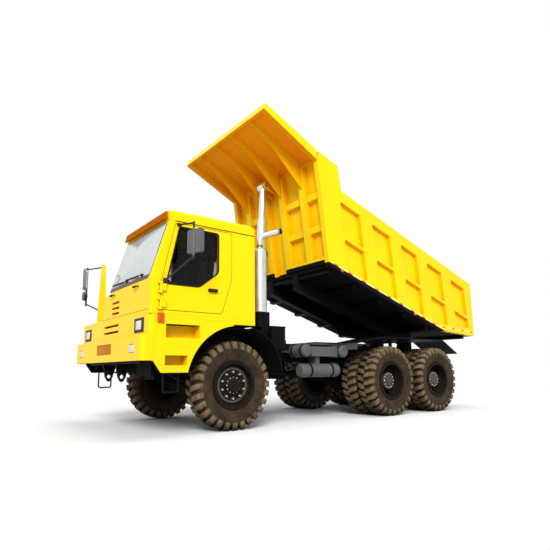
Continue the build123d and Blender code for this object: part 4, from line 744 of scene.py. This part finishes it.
# The seal rubber lies on the door round its window, along the window's corners.
seal = {"rod": 0.011, "corner": 0.045,
        "door": [(1.240, 2.120), (1.050, 2.975), (0.395, 2.975), (0.395, 2.370), (0.720, 2.120)]}
build = Builder()
outline = roundedLoop(seal["door"], seal["corner"])
loop = np.stack([outline[:, 0] + axleX, np.full(len(outline), sideY + 0.001), outline[:, 1]], -1)
tube(build, np.vstack([loop, loop[:2]]), seal["rod"])
build.piece("door_window_seal", [sealRubber], "door")
gapStrip = {"line": [(1.080, 3.024), (0.156, 3.024), (0.156, 2.289), (0.324, 1.746), (1.240, 1.746)],
            "rod": 0.003, "deep": 0.006}
gutter = {"front": 1.120, "rear": -0.270, "z": 3.052, "rod": 0.006, "proud": 0.002}
build = Builder()
line = np.array(gapStrip["line"])
deepY = np.full(len(line), sideY - gapStrip["deep"])
tube(build, np.stack([line[:, 0] + axleX, deepY, line[:, 1]], -1), gapStrip["rod"], 0, 6)
gutterEnds = [at(x, sideY + gutter["proud"], gutter["z"]) for x in (gutter["front"], gutter["rear"])]
tube(build, gutterEnds, gutter["rod"])
build.piece("door_gap_strip_and_gutter", [sealRubber], "chassis")
print("stage: wipers, handles and seals")

mirror = {"left": (0.960, 1.870, 2.700), "leftTurn": 18, "leftHalf": (0.004, 0.112, 0.148),
          "right": (1.390, -1.870, 2.700), "rightTurn": -22, "rightHalf": (0.004, 0.112, 0.178),
          "back": -0.032}
for key, body in (("left", "door"), ("right", "chassis")):
    turn = Matrix.Rotation(math.radians(mirror[key + "Turn"]), 4, "Z")
    shift = np.array(turn @ Vector((mirror["back"], 0, 0)))
    build = Builder()
    roundedBox(build, at(*mirror[key]) + shift, mirror[key + "Half"], 0.003, 0, turn)
    build.piece("mirror_glass_" + key, [mirrorGlass], body)

grip = {"rear": 0.420, "front": 0.570, "low": 2.064, "high": 2.111, "proud": 0.042, "sunk": 0.006}
build = Builder()
low = at(grip["rear"], sideY - grip["sunk"], grip["low"])
high = at(grip["front"], sideY + grip["proud"], grip["high"])
roundedBox(build, (low + high) / 2, (high - low) / 2, 0.010)
build.piece("door_grip", [blackPlastic], "door")
print("stage: mirrors and grip")

strap = {"half": 0.022, "thick": 0.005, "sunk": -0.001, "tankY": (0.800, 1.050), "tankX": (-1.750, -2.700),
         "tankZ": 1.260, "tankR": 0.120, "longX": (-1.850, -2.380), "longY": 1.020, "longZ": 0.900,
         "longR": 0.125}
bandProfile = [(-strap["half"], strap["sunk"]), (-strap["half"], strap["thick"]),
               (strap["half"], strap["thick"]), (strap["half"], strap["sunk"])]
build = Builder()
for x in strap["tankX"]:
    for y in strap["tankY"]:
        turned(build, np.array(bandProfile) + [0, strap["tankR"]], 40, at(x, y, strap["tankZ"]), "y")
for x in strap["longX"]:
    longPlace = at(x, strap["longY"], strap["longZ"])
    turned(build, np.array(bandProfile) + [0, strap["longR"]], 40, longPlace, "x")
build.piece("air_tank_straps", [black], "chassis")

fuel = {"straps": (-1.640, -2.460), "inner": -0.650, "outer": -1.300, "low": 0.720, "high": 1.280,
        "corner": 0.110, "thick": 0.006, "half": 0.030, "capX": -1.900, "capY": -1.080}
build = Builder()
grow = np.array([[1, -1], [-1, -1], [-1, 1], [1, 1]]) * fuel["thick"]
square = np.array([(fuel["inner"], fuel["low"]), (fuel["outer"], fuel["low"]), (fuel["outer"], fuel["high"]),
                   (fuel["inner"], fuel["high"])])
for x in fuel["straps"]:
    inner, outer = (roundedLoop(s, fuel["corner"], 9) for s in (square, square + grow))
    inner, outer = (np.column_stack([np.full(len(s), axleX + x), s]) for s in (inner, outer))
    ribbon(build, outer, inner, [np.array([-fuel["half"], 0, 0]), np.array([fuel["half"], 0, 0])])
cap = [(-0.01, 0.055), (0.025, 0.055), (0.028, 0.062), (0.050, 0.062), (0.056, 0.055), (0.058, 0.0)]
turned(build, cap, 24, at(fuel["capX"], fuel["capY"], fuel["high"]), "z")
build.piece("fuel_tank_straps_and_cap", [black], "chassis")

# The battery box stands on a box bracket that reaches out from the left rail's side, behind the exhaust.
battery = {"x": -1.190, "y": 0.850, "low": 1.440, "high": 1.660, "half": (0.160, 0.140), "lid": 0.030,
           "lap": 0.004, "grow": 0.008, "shelfFrom": 0.432, "shelfLow": 1.290}
build = Builder()
halfX, halfY = battery["half"]
boxHalf, lidHalf = (battery["high"] - battery["low"]) / 2, battery["lid"] / 2
roundedBox(build, at(battery["x"], battery["y"], battery["low"] + boxHalf), (halfX, halfY, boxHalf), 0.008)
lidGrown = (halfX + battery["grow"], halfY + battery["grow"], lidHalf)
roundedBox(build, at(battery["x"], battery["y"], battery["high"] + lidHalf - battery["lap"]), lidGrown, 0.010)
shelfHalf = (battery["y"] + halfY + battery["grow"] - battery["shelfFrom"]) / 2
shelfTall = (battery["low"] - battery["shelfLow"]) / 2
roundedBox(build, at(battery["x"], battery["shelfFrom"] + shelfHalf, battery["shelfLow"] + shelfTall),
           (halfX + battery["grow"], shelfHalf, shelfTall), 0.004)
build.piece("battery_box", [black], "chassis")

# Each rear mudguard's front edge is turned down into a lip with a rolled top. The rolled top carries the hub
# steel as a painted highlight along the edge.
lip = {"x": -2.764, "inner": 0.622, "outer": 1.418, "low": 1.290, "high": 1.412, "half": 0.004,
       "roll": 0.009, "rollDrop": 0.006}
build = Builder()
for side in (1, -1):
    low = at(lip["x"], side * lip["inner"], lip["low"])
    high = at(lip["x"], side * lip["outer"], lip["high"])
    roundedBox(build, (low + high) / 2, np.abs(high - low) / 2 + [lip["half"], 0, 0], 0.0035, 0, None, 1)
    rollX, rollZ = lip["x"] + lip["half"], lip["high"] - lip["rollDrop"]
    # painted highlight: the rolled top takes the lighter steel
    tube(build, [at(rollX, side * y, rollZ) for y in (lip["inner"], lip["outer"])], lip["roll"], 1)
build.piece("mudguard_front_lips", [lipGrey, hubSteelAndEdgeHighlight], "chassis")

stack = {"x": -0.525, "y": 1.350, "radius": 0.112, "bands": (1.98, 2.76), "pipe": 0.048, "collar": 2.97}
build = Builder()
for z in stack["bands"]:
    turned(build, np.array(bandProfile) + [0, stack["radius"]], 40, at(stack["x"], stack["y"], z), "z")
collarPlace = at(stack["x"], stack["y"], stack["collar"])
turned(build, np.array(bandProfile) + [0, stack["pipe"]], 32, collarPlace, "z", 1)
build.piece("stack_bands", [silver, hubSteelAndEdgeHighlight], "chassis")
print("stage: straps and bands")

tipTurn = Matrix.Rotation(-math.radians(bed["tip"]), 4, "Y")
build = Builder()
start, end = bed["tape"]
(frontU, frontV), (rearU, rearV) = bed["tail"]
tailSlope = math.atan2(rearV - frontV, rearU - frontU)
tailTurn = Matrix.Rotation(-math.radians(bed["tip"]) - tailSlope + math.pi, 4, "Y")
tailHalf = math.hypot(rearU - frontU, rearV - frontV) / 2
for side in (1, -1):
    middle = onBed((start + end) / 2, side * bed["side"], bed["sideEdge"] + bed["tapeHalf"])
    roundedBox(build, middle, ((end - start) / 2, 0.002, bed["tapeHalf"]), 0.0015, 0, tipTurn, 1)
    middle = onBed((frontU + rearU) / 2, side * bed["side"], (frontV + rearV) / 2)
    roundedBox(build, middle, (tailHalf, 0.002, bed["tapeHalf"]), 0.0015, 0, tailTurn, 1)
build.piece("bed_reflective_tape", [tape], "bed", False)
build = Builder()
for side in (1, -1):
    for u in bed["lampU"]:
        middle = onBed(u, side * (bed["side"] + 0.010), bed["lampV"])
        roundedBox(build, middle, bed["lampHalf"], 0.010, 0, tipTurn)
build.piece("bed_marker_lamps", [amberLens], "bed")
print("stage: bed trim")

seat = {"y": 0.760, "half": 0.230, "rear": 0.170, "front": 0.690, "top": 2.110, "pad": 0.120,
        "backTop": 2.750, "backHalf": 0.055, "lean": 8.0, "crown": 0.020, "channels": 4,
        "base": (0.425, 1.84), "baseHalf": (0.215, 0.200, 0.150), "around": 96, "rings": 33}


def cushion(build, centre, half, turn):
    # Rounded square outline |x|^p + |y|^p = 1 scaled by height, crowned in the middle and pinched along
    # sewn channels.
    u = np.linspace(0, 2 * math.pi, seat["around"], endpoint=False)[None, :]
    v = np.linspace(-math.pi / 2, math.pi / 2, seat["rings"])[:, None]
    power = lambda value, n: np.sign(value) * np.abs(value) ** n
    x = half[0] * power(np.cos(v), 0.35) * power(np.cos(u), 0.35)
    y = half[1] * power(np.cos(v), 0.35) * power(np.sin(u), 0.35)
    z = half[2] * power(np.sin(v), 0.55)
    x, y, z = np.broadcast_arrays(x, y, z)
    middle = (1 - (x / half[0]) ** 2) * (1 - (y / half[1]) ** 2)
    groove = np.abs(np.cos(math.pi * seat["channels"] * y / (2 * half[1]))) ** 0.5
    z = z + np.sign(z) * seat["crown"] * (middle * groove - 0.35)
    points = np.stack([x, y, z], -1) @ np.array(turn.to_3x3()).T + np.asarray(centre)
    build.add(points, gridFaces(seat["rings"], seat["around"], False, True), 0, True)


build = Builder()
backTurn = Matrix.Rotation(math.radians(-90 - seat["lean"]), 4, "Y")
seatMiddle = at((seat["rear"] + seat["front"]) / 2, seat["y"], seat["top"] - seat["pad"] / 2)
padHalf = ((seat["front"] - seat["rear"]) / 2, seat["half"], seat["pad"] / 2)
cushion(build, seatMiddle, padHalf, Matrix.Identity(4))
backMiddle = at(seat["rear"] + 0.020, seat["y"], (seat["top"] + seat["backTop"]) / 2 - 0.010)
backHalf = ((seat["backTop"] - seat["top"]) / 2, seat["half"] - 0.010, seat["backHalf"])
cushion(build, backMiddle, backHalf, backTurn)
roundedBox(build, at(seat["base"][0], seat["y"], seat["base"][1]), seat["baseHalf"], 0.030, 1)
seatPiece = build.piece("seat_padded", [seatCloth, blackPlastic], "chassis")
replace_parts(seatPiece, "seat")
print("stage: seat")

# Camera at the photograph's place, ahead of the front axle on the left, low down and looking slightly up.
view = {"place": (axleX + 3.974, 7.532, 0.908), "yaw": -127.078, "pitch": 8.511, "roll": -0.474,
        "lens": 30.582, "sensor": 36.0, "shiftX": 0.01211, "shiftY": 0.04605}
camera = bpy.data.objects.new("camera", bpy.data.cameras.new("camera"))
bpy.context.collection.objects.link(camera)
camera.data.lens = view["lens"]
camera.data.sensor_width = view["sensor"]
camera.data.shift_x = view["shiftX"]
camera.data.shift_y = view["shiftY"]
camera.data.clip_end = 500.0
camera.location = view["place"]
heading = Matrix.Rotation(math.radians(view["yaw"] - 90), 4, "Z")
pitched = heading @ Matrix.Rotation(math.radians(90 + view["pitch"]), 4, "X")
camera.rotation_euler = (pitched @ Matrix.Rotation(math.radians(view["roll"]), 4, "Z")).to_euler()
bpy.context.scene.camera = camera

# White studio floor: it takes the truck's shadow, and fades to plain white a few metres out.
studio = {"reach": 120.0, "fadeStart": 3.6, "fadeEnd": 6.5, "fill": 0.46, "key": 44000.0, "top": 1400.0,
          "floor": "#F0F0F0", "bounce": "#BEBEBA", "squeeze": (0.62, 1.0, 1.0)}
reach = studio["reach"]
floorMesh = bpy.data.meshes.new("floor")
floorCorners = [(-reach, -reach, 0), (reach, -reach, 0), (reach, reach, 0), (-reach, reach, 0)]
floorMesh.from_pydata(floorCorners, [], [(0, 1, 2, 3)])
floor = bpy.data.objects.new("floor", floorMesh)
bpy.context.collection.objects.link(floor)
floorPaint, tree, shader, place = startMaterial("studioFloor")
shader.inputs["Roughness"].default_value = 0.9
shader.inputs["Specular IOR Level"].default_value = 0.0
floorMesh.materials.append(floorPaint)


def seenRay(tree):
    # 1 for rays that show the backdrop itself: camera, mirror and through-glass rays
    ray = addNode(tree, "ShaderNodeLightPath").outputs
    return combine(tree, "MAXIMUM", combine(tree, "MAXIMUM", ray["Is Camera Ray"], ray["Is Glossy Ray"]),
                   ray["Is Transmission Ray"])


links = {"Vector": place.outputs["Object"], "Scale": studio["squeeze"]}
squeezed = addNode(tree, "ShaderNodeMapping", links).outputs[0]
distance = addNode(tree, "ShaderNodeVectorMath", {0: squeezed}, operation="LENGTH").outputs["Value"]
faded = fade(tree, distance, studio["fadeStart"], studio["fadeEnd"])
beyond = combine(tree, "MULTIPLY", faded, seenRay(tree))
floorColour = blendColour(tree, seenRay(tree), linear(studio["bounce"]), linear(studio["floor"]))
tree.links.new(floorColour, shader.inputs["Base Color"])
white = addNode(tree, "ShaderNodeEmission", {"Strength": 1.0})
mixed = addNode(tree, "ShaderNodeMixShader", {0: beyond, 1: shader.outputs[0], 2: white.outputs[0]})
tree.links.new(mixed.outputs[0], tree.nodes["Material Output"].inputs["Surface"])

world = bpy.data.worlds.new("studio")
bpy.context.scene.world = world
world.use_nodes = True
tree = world.node_tree
background = tree.nodes["Background"]
background.inputs["Color"].default_value = (1, 1, 1, 1)
tree.links.new(fade(tree, seenRay(tree), 0.0, 1.0, studio["fill"], 1.0), background.inputs["Strength"])


def softLamp(name, place, target, size, power):
    lamp = bpy.data.objects.new(name, bpy.data.lights.new(name, "AREA"))
    bpy.context.collection.objects.link(lamp)
    lamp.data.shape = "DISK"
    lamp.data.size = size
    lamp.data.energy = power
    lamp.location = place
    lamp.rotation_euler = (Vector(target) - Vector(place)).to_track_quat("-Z", "Y").to_euler()


softLamp("keyLight", (36.0, 44.0, 37.0), (0.0, 0.0, 2.0), 30.0, studio["key"])
softLamp("topLight", (-2.0, 2.0, 18.0), (-1.0, 0.0, 0.0), 14.0, studio["top"])
print("stage: camera and light")

bpy.context.scene.view_settings.view_transform = "Standard"
